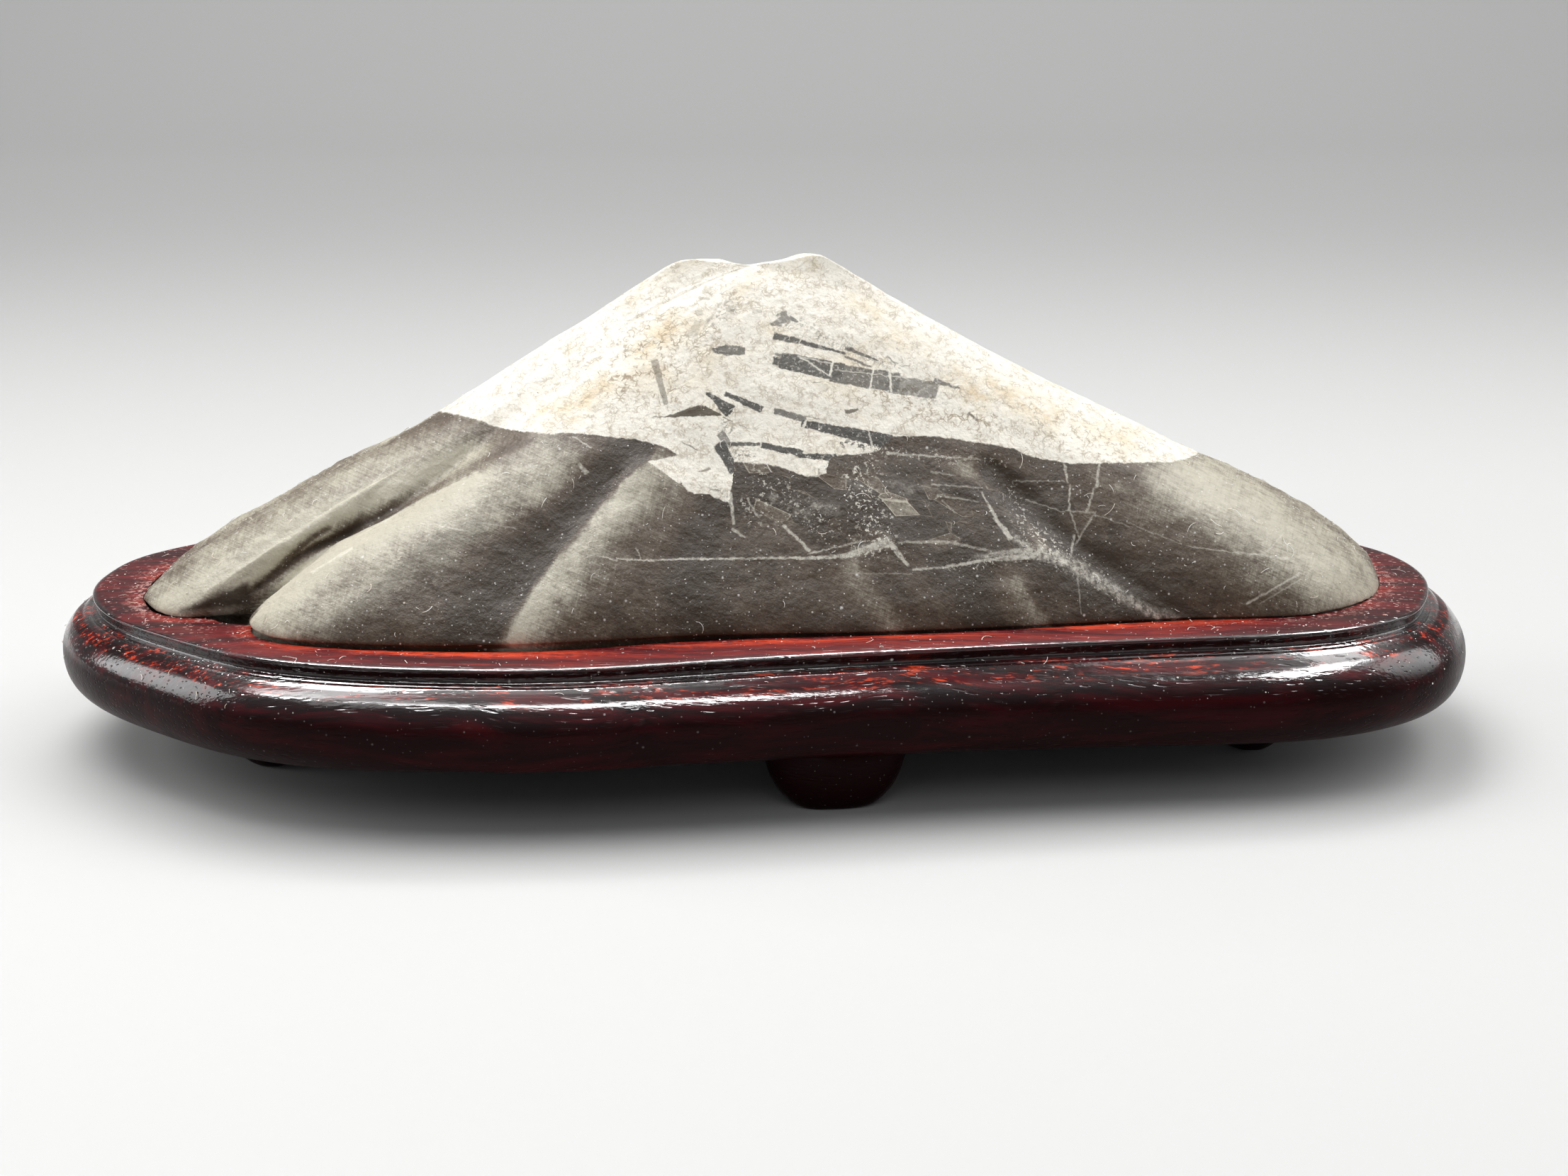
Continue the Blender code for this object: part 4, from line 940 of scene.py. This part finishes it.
def settle(mesh, points, weights, rounds):
    """Points drawn towards the middle of their neighbours, each as much as its weight."""
    ends = np.empty(len(mesh.edges) * 2, np.int32)
    mesh.edges.foreach_get("vertices", ends)
    a, b = ends.reshape(-1, 2).T
    near, far = np.concatenate((a, b)), np.concatenate((b, a))
    count = np.bincount(near, minlength=len(points))
    for _ in range(rounds):
        total = np.array([np.bincount(near, points[far, k], len(points)) for k in range(3)]).T
        points = points + (total / count[:, None] - points) * weights[:, None]
    return points


def smooth_copy(node, name, levels, calm=None):
    """A copy of a solid of the frame, merged, turned back into quads and subdivided. Its corners are first
    moved out as far as subdividing pulls them in, so the smooth surface passes through the solid's own."""
    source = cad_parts[node]
    mesh = source.data.copy()
    mesh.name = name
    piece = bpy.data.objects.new(name, mesh)
    bpy.context.scene.collection.objects.link(piece)
    deselect()
    piece.select_set(True)
    bpy.context.view_layer.objects.active = piece
    bpy.ops.object.mode_set(mode="EDIT")
    bpy.ops.mesh.select_all(action="SELECT")
    bpy.ops.mesh.remove_doubles(threshold=MERGE_WITHIN)
    bpy.ops.mesh.tris_convert_to_quads(face_threshold=QUAD_ANGLE, shape_threshold=QUAD_ANGLE)
    bpy.ops.mesh.customdata_custom_splitnormals_clear()
    bpy.ops.object.mode_set(mode="OBJECT")
    mesh.materials.clear()
    wanted = corners(mesh)
    if calm:
        wanted = settle(mesh, wanted, calm(wanted), CALM_ROUNDS)
        move_corners(mesh, wanted)
    above = wanted[:, 2] > FIT_FROM * MM
    rounder = piece.modifiers.new("round", "SUBSURF")
    rounder.levels = 1
    for _ in range(FIT_ROUNDS):
        smoothed = piece.evaluated_get(bpy.context.evaluated_depsgraph_get()).data
        short = wanted - corners(smoothed)[:len(wanted)]
        move_corners(mesh, corners(mesh) + FIT_SHARE * above[:, None] * short)
    rounder.levels = levels
    rounder.render_levels = levels
    bpy.ops.object.modifier_apply(modifier=rounder.name)
    return piece


def move_corners(mesh, points):
    """Puts each corner of a mesh at its new place."""
    mesh.vertices.foreach_set("co", points.astype(np.float32).ravel())
    mesh.update()
    mesh.update_tag()


def corners(mesh, what="co"):
    """The place of each corner of a mesh, or its "normal", one to a row."""
    rows = np.empty(len(mesh.vertices) * 3, np.float32)
    mesh.vertices.foreach_get(what, rows)
    return rows.reshape(-1, 3).astype(float)


def store(mesh, name, values):
    """Keeps a number for each corner, for a material to read."""
    mesh.attributes.new(name, "FLOAT", "POINT").data.foreach_set("value", values.astype(np.float32))


def lumps(points, size_mm, octaves=3):
    """Smooth noise of about this size on points in metres, from -1 to 1."""
    return np.array([noise.fractal(Vector(p / MM / size_mm), 1.0, 2.0, octaves) for p in points])


def calm_cap(points):
    """How much each corner of the stone is smoothed: only the front of the cap is."""
    in_front = blend(CREST_Y + CALM_Y[0], CREST_Y + CALM_Y[1], points[:, 1] / MM)
    return CALM_PULL * blend(*CALM_UP, sheet(points)[:, 1]) * in_front


def lines_laid(here, layout, fade):
    """How strongly the lines of a layout act at each point of the sheet."""
    total = np.zeros(len(here))
    for line, above, below, strength in layout:
        side, travel = side_distance(here, line)
        reach = np.where(side > 0, below, above)
        total = np.maximum(total, strength * blend(0.0, fade, travel) * np.exp(-((side / reach) ** 2)))
    return total


def shape_stone(piece):
    """Sharpens the gullies, breaks the surface up and stores where the slopes get painted sheen and painted
    shade.
    """
    mesh = piece.data
    points, normals = corners(mesh), corners(mesh, "normal")
    here = sheet(points)
    front = blend(CREST_Y, CREST_Y - FRONT_FADE, points[:, 1] / MM)
    # Painted sheen along the ridges that face the side lights, and painted shade in the creases and the
    # cleft.
    pale = lines_laid(here, SHEEN_RIDGES, RIDGE_FADE)
    crease = lines_laid(here, SHADED_CREASES, CREASE_FADE) * front
    # The back gets a random paler tone in place of the painted sheen.
    behind = BACK_PALE + BACK_CHANGE * lumps(points, BACK_SIZE, 2)
    pale = pale * front + behind * (1 - front)

    side, travel = side_distance(here, LOBE_GROOVE)
    groove = np.exp(-((side / GROOVE_REACH) ** 2)) * blend(*GROOVE_IN, travel) * blend(*GROOVE_OUT, travel)
    groove *= front
    crease = np.maximum(crease, groove)
    cap = blend(*CAP_FADE, here[:, 1])
    move = -CREASE_DEPTH * crease - GROOVE_DEPTH * groove + FINE_LUMPS[1] * lumps(points, FINE_LUMPS[0])
    move += (1 - CAP_EVENNESS * cap) * BROAD_LUMPS[1] * lumps(points, BROAD_LUMPS[0]) - CAP_DEPTH * cap
    crest = np.exp(-(((points[:, 1] / MM - CREST_Y) / CREST_REACH) ** 2)) * (1 - cap)
    move += crest * CREST_LUMPS[1] * lumps(points, CREST_LUMPS[0])
    points += normals * (move * blend(*CLEAR_OF_STAND, points[:, 2] / MM) * MM)[:, None]
    move_corners(mesh, points)
    store(mesh, "pale", pale)
    store(mesh, "crease", crease)


def tile_boxes():
    """The tiles of the front: lowest and highest across, lowest and highest up."""
    columns = [SHEET_ENDS[0], *TILE_ACROSS, SHEET_ENDS[1]]
    rows = [SHEET_ENDS[0], *TILE_UP, SHEET_ENDS[1]]
    return [(*column, *row) for column in zip(columns, columns[1:]) for row in zip(rows, rows[1:])]


def surface_of(piece):
    """A tree for looking up the nearest place on a piece."""
    return BVHTree.FromPolygons([v.co[:] for v in piece.data.vertices],
                                [face.vertices[:] for face in piece.data.polygons])


def close_recess(stand, stone):
    """Draws the ledge's inner edge up to the stone, which sits in a recess carved to its outline."""
    surface = surface_of(stone)
    points = corners(stand.data)
    heights = points[:, 2] / MM
    for i in np.flatnonzero((heights > RECESS_FLOOR) & (heights < RECESS_TOP)):
        place = Vector(points[i])
        nearest, _, _, distance = surface.find_nearest(place, RECESS_FAR * MM)
        if nearest is None:
            continue
        weight = blend(RECESS_FLOOR, RECESS_WHOLE, heights[i]) * blend(RECESS_FAR, RECESS_NEAR, distance / MM)
        share = max(0.0, 1.0 - RECESS_GAP * MM / max(distance, MERGE_WITHIN))
        points[i, :2] += ((nearest - place) * float(weight) * share).xy
    move_corners(stand.data, points)


def mark_inner(stand, stone):
    """Stores where the ledge is close to the stone, which is where its red shows through most."""
    surface = surface_of(stone)
    points = corners(stand.data)
    reach = np.full(len(points), INNER_FAR)
    for i in np.flatnonzero(points[:, 2] > INNER_FROM * MM):
        found = surface.find_nearest(Vector(points[i]), INNER_FAR * MM)
        if found[0] is not None:
            reach[i] = found[3] / MM
    store(stand.data, "inner", blend(INNER_FAR, INNER_NEAR, reach))


def raise_bead(stand):
    """The fine bead along the top of the shoulder."""
    points, normals = corners(stand.data), corners(stand.data, "normal")
    rise = BEAD_RISE * np.exp(-(((points[:, 2] / MM - BEAD_AT) / BEAD_REACH) ** 2))
    rise *= normals[:, 2] > BEAD_FACING
    move_corners(stand.data, points + normals * (rise * MM)[:, None])


def wave_front(stand):
    """The carver's slight dip in the front of the mouldings, deepest at the lower edge."""
    points = corners(stand.data)
    x, y, z = points.T / MM
    dip = DIP * np.exp(-((x - DIP_AT) / DIP_REACH) ** 2) * blend(*DIP_Y, y) * blend(*DIP_FROM, z)
    points[:, 2] -= dip * (DIP_ABOVE + DIP_BELOW * blend(*DIP_HEIGHTS, z)) * MM
    move_corners(stand.data, points)


def fibre(build, place, normal, heading, length, bend, radius):
    """One thin curved hair of three sides, lying on the surface, that turns by bend from end to end."""
    side = normal.cross(heading)
    rings = []
    for step in range(FIBRE_STEPS + 1):
        t = step / FIBRE_STEPS
        turn = bend * t
        centre = place + heading * (length * math.sin(turn) / bend)
        centre = centre + side * (length * (1 - math.cos(turn)) / bend)
        centre = centre + normal * (radius + FIBRE_ARCH * length * t * (1 - t))
        across = side * math.cos(turn) - heading * math.sin(turn)
        rings.append([build.verts.new(centre + radius * (across * math.cos(a) + normal * math.sin(a)))
                      for a in FIBRE_CORNERS])
    for low, high in zip(rings, rings[1:]):
        for k in range(3):
            build.faces.new((low[k], low[(k + 1) % 3], high[(k + 1) % 3], high[k]))
    build.faces.new(rings[0][::-1])
    build.faces.new(rings[-1])


def crumb(build, place, normal, radius, rng):
    """One grain of dust: a squashed octahedron."""
    tilt = Vector([rng.uniform(-1, 1) for _ in range(3)]).cross(normal).normalized()
    other = normal.cross(tilt)
    middle = place + normal * radius * CRUMB_LIFT
    ring = []
    for a in CRUMB_CORNERS:
        out = tilt * math.cos(a) * rng.uniform(*CRUMB_WIDTHS) + other * math.sin(a)
        ring.append(build.verts.new(middle + radius * out))
    top = build.verts.new(middle + normal * radius * CRUMB_HEIGHT)
    bottom = build.verts.new(middle - normal * radius * CRUMB_HEIGHT)
    for k in range(4):
        build.faces.new((ring[k], ring[(k + 1) % 4], top))
        build.faces.new((ring[(k + 1) % 4], ring[k], bottom))


# Where dust lies: low x, high x, low y, high y in millimetres, then the share of fibres and of crumbs.
DUST_ZONES = [
    ((-82.0, 82.0, -36.0, -14.0), 0.3, 0.35), ((-86.0, -55.0, -24.0, 20.0), 0.2, 0.15),
    ((30.0, 86.0, -28.0, 10.0), 0.15, 0.15), ((-75.0, 75.0, -18.0, 4.0), 0.25, 0.25),
    ((-85.0, 85.0, 4.0, 36.0), 0.1, 0.1), ((36.0, 78.0, -2.0, 6.0), 0.08, 0.12),
    ((-80.0, -28.0, -2.0, 6.0), 0.08, 0.12),
]


def landing_places(surfaces, rng, count, zone):
    """Places where dust falling inside the zone (low x, high x, low y, high y) comes to rest, with the
    normal there. What misses the object is counted too, and isn't dropped again."""
    found = []
    while len(found) < count:
        start = Vector((rng.uniform(zone[0], zone[1]) * MM, rng.uniform(zone[2], zone[3]) * MM, FALL_FROM))
        start.x += rng.gauss(0, DRIFT) * MM
        hits = [hit for hit in (s.ray_cast(start, Vector((0, 0, -1))) for s in surfaces) if hit[0]]
        if hits:
            place, normal = max(hits, key=lambda hit: hit[0].z)[:2]
            found.append((place, normal if normal.z > 0 else -normal))
        else:
            count -= 1
    return found


def place_on(piece):
    """Gives a piece its body."""
    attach(piece, "root")


class StoneSettings(bpy.types.PropertyGroup):
    """Colours of the stone."""
    # Deep is the darkest tone of the slopes and the painted shade in the gullies, the cleft and the shaded
    # facets.
    deep: bpy.props.FloatVectorProperty(
        name="Deep", description="Gullies of the slopes", subtype="COLOR", default=(0.048, 0.033, 0.0215))
    slope: bpy.props.FloatVectorProperty(
        name="Slope", description="Slopes between ridges and gullies", subtype="COLOR",
        default=(0.106, 0.078, 0.053))
    # Painted sheen: the colour given to the ridges that face the side lights.
    ridge_sheen: bpy.props.FloatVectorProperty(
        name="Ridge", description="Rubbed ridges", subtype="COLOR", default=(0.52, 0.485, 0.385))
    cap: bpy.props.FloatVectorProperty(
        name="Cap", description="White cap", subtype="COLOR", default=(0.93, 0.885, 0.775))
    stain: bpy.props.FloatVectorProperty(
        name="Stain", description="Tan stains in the cap", subtype="COLOR", default=(0.72, 0.53, 0.27))
    vein: bpy.props.FloatVectorProperty(
        name="Vein", description="White veins in the slopes", subtype="COLOR", default=(0.7, 0.66, 0.57))
    flake: bpy.props.FloatVectorProperty(
        name="Flake", description="Dark flakes in the cap", subtype="COLOR", default=(0.07, 0.064, 0.054))
    grey: bpy.props.FloatVectorProperty(
        name="Grey", description="Greyer parts of the cap", subtype="COLOR", default=(0.55, 0.52, 0.46))
    crackle: bpy.props.FloatVectorProperty(
        name="Crackle", description="Hairlines in the cap", subtype="COLOR", default=(0.32, 0.235, 0.14))
    brown: bpy.props.FloatVectorProperty(
        name="Brown", description="Brown flakes in the cap", subtype="COLOR", default=(0.1, 0.078, 0.05))
    faint: bpy.props.FloatVectorProperty(
        name="Faint", description="Faint flakes in the cap", subtype="COLOR", default=(0.34, 0.31, 0.24))
    speck: bpy.props.FloatVectorProperty(
        name="Speck", description="Dust on the stone", subtype="COLOR", default=(0.75, 0.73, 0.68))
    dust: bpy.props.FloatProperty(
        name="Dust", description="Share of the possible dust specks", default=0.8, min=0.0, max=1.0,
        subtype="FACTOR")
    levels: bpy.props.IntProperty(
        name="Smoothing", description="Subdivisions of the solid", default=2, min=1, max=3)


class StandSettings(bpy.types.PropertyGroup):
    """Colours of the stand."""
    dark: bpy.props.FloatVectorProperty(
        # Dark is also the painted shade of the cove, the lower side and the feet.
        name="Dark", description="Thick lacquer", subtype="COLOR", default=(0.009, 0.0011, 0.0014))
    red: bpy.props.FloatVectorProperty(
        name="Red", description="Lacquer over red wood", subtype="COLOR", default=(0.14, 0.004, 0.008))
    worn: bpy.props.FloatVectorProperty(
        name="Worn", description="Wood where the polish is thin", subtype="COLOR",
        default=(0.72, 0.07, 0.022))
    pore: bpy.props.FloatVectorProperty(
        name="Pore", description="Open pores at the ends", subtype="COLOR", default=(0.62, 0.34, 0.3))
    speck: bpy.props.FloatVectorProperty(
        name="Speck", description="Dust on the stand", subtype="COLOR", default=(0.75, 0.72, 0.68))
    dust: bpy.props.FloatProperty(
        name="Dust", description="Share of the possible dust specks", default=0.35, min=0.0, max=1.0,
        subtype="FACTOR")
    levels: bpy.props.IntProperty(
        name="Smoothing", description="Subdivisions of the solid", default=2, min=1, max=3)


class DustSettings(bpy.types.PropertyGroup):
    """The loose dust."""
    pale: bpy.props.FloatVectorProperty(
        name="Pale", description="Most of the dust", subtype="COLOR", default=(0.8, 0.79, 0.75))
    warm: bpy.props.FloatVectorProperty(
        name="Warm", description="The warmer dust", subtype="COLOR", default=(0.7, 0.6, 0.48))
    fibres: bpy.props.IntProperty(name="Fibres", description="Number of hairs", default=420, min=0)
    crumbs: bpy.props.IntProperty(name="Crumbs", description="Number of grains", default=900, min=0)


class StageSettings(bpy.types.PropertyGroup):
    """The floor, the lights and the camera."""
    floor: bpy.props.FloatVectorProperty(
        name="Floor", description="Colour of the floor", subtype="COLOR", default=(0.5, 0.5, 0.49))
    floor_size: bpy.props.FloatProperty(
        name="Floor size", description="Width of the floor", default=8.0, unit="LENGTH")
    top_light: bpy.props.FloatProperty(
        name="Top light", description="Power of the lights above", default=1.4, unit="POWER")
    strip_light: bpy.props.FloatProperty(
        name="Strip light", description="Power of the lights that only show as highlights", default=8.5,
        unit="POWER")
    front_light: bpy.props.FloatProperty(
        name="Front light", description="Power of the soft light from in front", default=0.5, unit="POWER")
    left_light: bpy.props.FloatProperty(
        name="Left light", description="Power of the light on the left", default=1.3, unit="POWER")
    right_light: bpy.props.FloatProperty(
        name="Right light", description="Power of the light on the right", default=1.0, unit="POWER")
    back_light: bpy.props.FloatProperty(
        name="Backdrop light", description="Power of the light on the backdrop", default=16.0, unit="POWER")
    fill: bpy.props.FloatProperty(
        name="Fill", description="Strength of the light from all round", default=0.28)


class VIEWINGSTONE_OT_stone(bpy.types.Operator):
    """Makes the stone"""
    bl_idname = "viewingstone.stone"
    bl_label = "Stone"

    def execute(self, context):
        settings = context.scene.viewing_stone
        piece = smooth_copy("stone", "viewing_stone", settings.levels, calm_cap)
        shape_stone(piece)
        for group in (sheet_group, mark_group, dust_group, crackle_group, streak_group, shard_group):
            group()
        tiles = tile_boxes()
        centres = np.array([face.center[:] for face in piece.data.polygons])
        across, up = sheet(centres).T
        tile_of = np.searchsorted(TILE_ACROSS, across) * (len(TILE_UP) + 1) + np.searchsorted(TILE_UP, up)
        tile_of = np.where(centres[:, 1] > CREST_Y * MM, len(tiles), tile_of)
        used, slots = np.unique(tile_of, return_inverse=True)
        for number in used[:-1]:
            finish = stone_material(f"stone front {number + 1}", settings, tiles[number], False)
            piece.data.materials.append(finish)
        piece.data.materials.append(stone_material("stone back", settings, WHOLE_SHEET, True))
        piece.data.polygons.foreach_set("material_index", slots.astype(np.int32).ravel())
        piece.data.shade_smooth()
        place_on(piece)
        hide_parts("stone")
        return {"FINISHED"}


class VIEWINGSTONE_OT_stand(bpy.types.Operator):
    """Makes the stand"""
    bl_idname = "viewingstone.stand"
    bl_label = "Stand"

    def execute(self, context):
        settings = context.scene.viewing_stand
        piece = smooth_copy("stand", "carved_stand", settings.levels)
        stone = bpy.data.objects["viewing_stone"]
        close_recess(piece, stone)
        mark_inner(piece, stone)
        store(piece.data, "level", corners(piece.data)[:, 2] / MM)
        raise_bead(piece)
        wave_front(piece)
        grain_group()
        piece.data.materials.append(lacquer_material(settings))
        piece.data.shade_smooth()
        place_on(piece)
        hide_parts("stand")
        return {"FINISHED"}


class VIEWINGSTONE_OT_dust(bpy.types.Operator):
    """Makes the loose dust that lies on the stone and the stand"""
    bl_idname = "viewingstone.dust"
    bl_label = "Dust"

    def execute(self, context):
        settings = context.scene.viewing_dust
        surfaces = [surface_of(bpy.data.objects[name]) for name in ("viewing_stone", "carved_stand")]
        rng = random.Random(DUST_SEED)
        build = bmesh.new()
        for zone, fibres, crumbs in DUST_ZONES:
            for place, normal in landing_places(surfaces, rng, int(settings.fibres * fibres), zone):
                heading = Vector([rng.uniform(-1, 1) for _ in range(3)]).cross(normal).normalized()
                length = min(rng.expovariate(FIBRE_RATE) + FIBRE_LEAST, FIBRE_MOST) * MM
                bend = rng.choice((-1, 1)) * rng.uniform(*FIBRE_BENDS)
                fibre(build, place, normal, heading, length, bend, rng.uniform(*FIBRE_RADII) * MM)
            for place, normal in landing_places(surfaces, rng, int(settings.crumbs * crumbs), zone):
                radius = min(rng.expovariate(CRUMB_RATE) + CRUMB_LEAST, CRUMB_MOST) * MM
                crumb(build, place, normal, radius, rng)
        mesh = bpy.data.meshes.new("loose_dust")
        build.to_mesh(mesh)
        build.free()
        piece = bpy.data.objects.new("loose_dust", mesh)
        context.scene.collection.objects.link(piece)
        mesh.materials.append(dust_material(settings))
        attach(piece, "root")
        return {"FINISHED"}


# ---------------------------------------------------------------- the stage, metres
SWEEP_START, SWEEP_RADIUS, SWEEP_STEPS = 1.2, 0.6, 16   # where the floor turns up into the backdrop
CAMERA_PLACE = (0.00198, -0.25768, 0.08829)
CAMERA_WIDTH = math.radians(40.09)      # angle of view from side to side
NEAREST_SEEN = 0.01
MIDDLE = (0.0, 0.0, 0.03)               # what the lights aim at

# Lights overhead, in two groups: place along X, length, share of the power. Each group has one light and
# two strips that only show as highlights: place along Y, height, depth, share of the strips' power.
OVERHEAD = {"left": (-0.13, 0.64, 1.3), "right": (0.345, 0.25, 0.54)}
TOP_LIGHT = (0.02, 0.5, 0.34)
STRIPS = {"strip light": (0.11, 0.47, 0.13, 1.0), "front strip light": (-0.13, 0.46, 0.09, 0.5)}

# The other lights: place, length and depth, the setting that holds the power, what it aims at.
ROUND_LIGHTS = {
    "front fill": ((0.0, -0.6, 0.5), (0.5, 0.3), "front_light", MIDDLE),
    "left light": ((-0.55, 0.02, 0.24), (0.3, 0.3), "left_light", MIDDLE),
    "right light": ((0.55, 0.06, 0.26), (0.3, 0.3), "right_light", MIDDLE),
    "backdrop light": ((0.0, 0.9, 1.3), (2.4, 0.6), "back_light", (0.0, 1.6, 0.0)),
}
NOT_IN_HIGHLIGHTS = ("front fill",)
SKY = (0.93, 0.95, 1.0, 1.0)


def add_light(name, place, size, power, target, only_glossy=False, no_glossy=False):
    """A soft oblong light that faces a point. It can show only in highlights, or only outside them."""
    data = bpy.data.lights.new(name, "AREA")
    data.shape = "RECTANGLE"
    data.size, data.size_y = size
    data.energy = power
    light = bpy.data.objects.new(name, data)
    bpy.context.scene.collection.objects.link(light)
    light.location = place
    light.rotation_euler = (Vector(target) - Vector(place)).to_track_quat("-Z", "Y").to_euler()
    light.visible_diffuse = not only_glossy
    light.visible_glossy = not no_glossy


def add_floor(settings):
    """The floor, which turns up into the backdrop in a quarter round."""
    half = settings.floor_size / 2
    profile = [(-half, 0.0), (SWEEP_START, 0.0)]
    profile += [(SWEEP_START + SWEEP_RADIUS * math.sin(a), SWEEP_RADIUS * (1 - math.cos(a)))
                for a in np.linspace(0, math.pi / 2, SWEEP_STEPS + 1)[1:]]
    profile.append((profile[-1][0], half))
    mesh = bpy.data.meshes.new("floor")
    mesh.from_pydata([(x, y, z) for y, z in profile for x in (-half, half)], [],
                     [(2 * i, 2 * i + 1, 2 * i + 3, 2 * i + 2) for i in range(len(profile) - 1)])
    mesh.shade_smooth()
    floor = bpy.data.objects.new("floor", mesh)
    bpy.context.scene.collection.objects.link(floor)
    material, _, shader = new_material("floor")
    shader.inputs["Base Color"].default_value = (*settings.floor, 1.0)
    shader.inputs["Roughness"].default_value = 0.75
    mesh.materials.append(material)


def add_lights(settings):
    """All the lights, and the light from all round."""
    for group, (x, length, share) in OVERHEAD.items():
        aim = (x / 3, 0.0, MIDDLE[2])
        y, z, depth = TOP_LIGHT
        add_light("top light " + group, (x, y, z), (length, depth), settings.top_light * share, aim)
        for name, (y, z, depth, part) in STRIPS.items():
            power = settings.strip_light * share * part
            add_light(name + " " + group, (x, y, z), (length, depth), power, aim, only_glossy=True)
    for name, (place, size, power, aim) in ROUND_LIGHTS.items():
        add_light(name, place, size, getattr(settings, power), aim, no_glossy=name in NOT_IN_HIGHLIGHTS)
    world = bpy.data.worlds.new("studio")
    world.use_nodes = True
    world.node_tree.nodes["Background"].inputs["Color"].default_value = SKY
    world.node_tree.nodes["Background"].inputs["Strength"].default_value = settings.fill
    bpy.context.scene.world = world


def add_camera():
    """The camera, level from side to side and tilted as the layout sheet is."""
    lens = bpy.data.cameras.new("camera")
    lens.lens_unit = "FOV"
    lens.angle = CAMERA_WIDTH
    lens.clip_start = NEAREST_SEEN
    camera = bpy.data.objects.new("camera", lens)
    bpy.context.scene.collection.objects.link(camera)
    camera.location = CAMERA_PLACE
    camera.rotation_euler = (math.pi / 2 - EYE_TILT, 0.0, 0.0)
    bpy.context.scene.camera = camera


class VIEWINGSTONE_OT_stage(bpy.types.Operator):
    """Makes the floor, the lights and the camera"""
    bl_idname = "viewingstone.stage"
    bl_label = "Stage"

    def execute(self, context):
        settings = context.scene.viewing_stage
        add_floor(settings)
        add_lights(settings)
        add_camera()
        context.scene.view_settings.view_transform = "Standard"
        return {"FINISHED"}


class VIEWINGSTONE_PT_panel(bpy.types.Panel):
    """Lists the settings and the buttons that build each piece"""
    bl_idname = "VIEWINGSTONE_PT_panel"
    bl_label = "Viewing stone"
    bl_space_type = "VIEW_3D"
    bl_region_type = "UI"
    bl_category = "Stone"

    def draw(self, context):
        scene = context.scene
        for settings, operator in ((scene.viewing_stone, "viewingstone.stone"),
                                   (scene.viewing_stand, "viewingstone.stand"),
                                   (scene.viewing_dust, "viewingstone.dust"),
                                   (scene.viewing_stage, "viewingstone.stage")):
            box = self.layout.box()
            for name in settings.__annotations__:
                box.prop(settings, name)
            box.operator(operator)


CLASSES = (StoneSettings, StandSettings, DustSettings, StageSettings, VIEWINGSTONE_OT_stone,
           VIEWINGSTONE_OT_stand, VIEWINGSTONE_OT_dust, VIEWINGSTONE_OT_stage, VIEWINGSTONE_PT_panel)


def register():
    """Registers the classes and gives the scene its settings."""
    for thing in CLASSES:
        bpy.utils.register_class(thing)
    bpy.types.Scene.viewing_stone = bpy.props.PointerProperty(type=StoneSettings)
    bpy.types.Scene.viewing_stand = bpy.props.PointerProperty(type=StandSettings)
    bpy.types.Scene.viewing_dust = bpy.props.PointerProperty(type=DustSettings)
    bpy.types.Scene.viewing_stage = bpy.props.PointerProperty(type=StageSettings)


def unregister():
    """Takes away what register added."""
    del bpy.types.Scene.viewing_stone
    del bpy.types.Scene.viewing_stand
    del bpy.types.Scene.viewing_dust
    del bpy.types.Scene.viewing_stage
    for thing in reversed(CLASSES):
        bpy.utils.unregister_class(thing)


def main():
    """Builds every piece and the stage."""
    register()
    bpy.ops.viewingstone.stone()
    bpy.ops.viewingstone.stand()
    bpy.ops.viewingstone.dust()
    bpy.ops.viewingstone.stage()


if __name__ == "__main__":
    main()
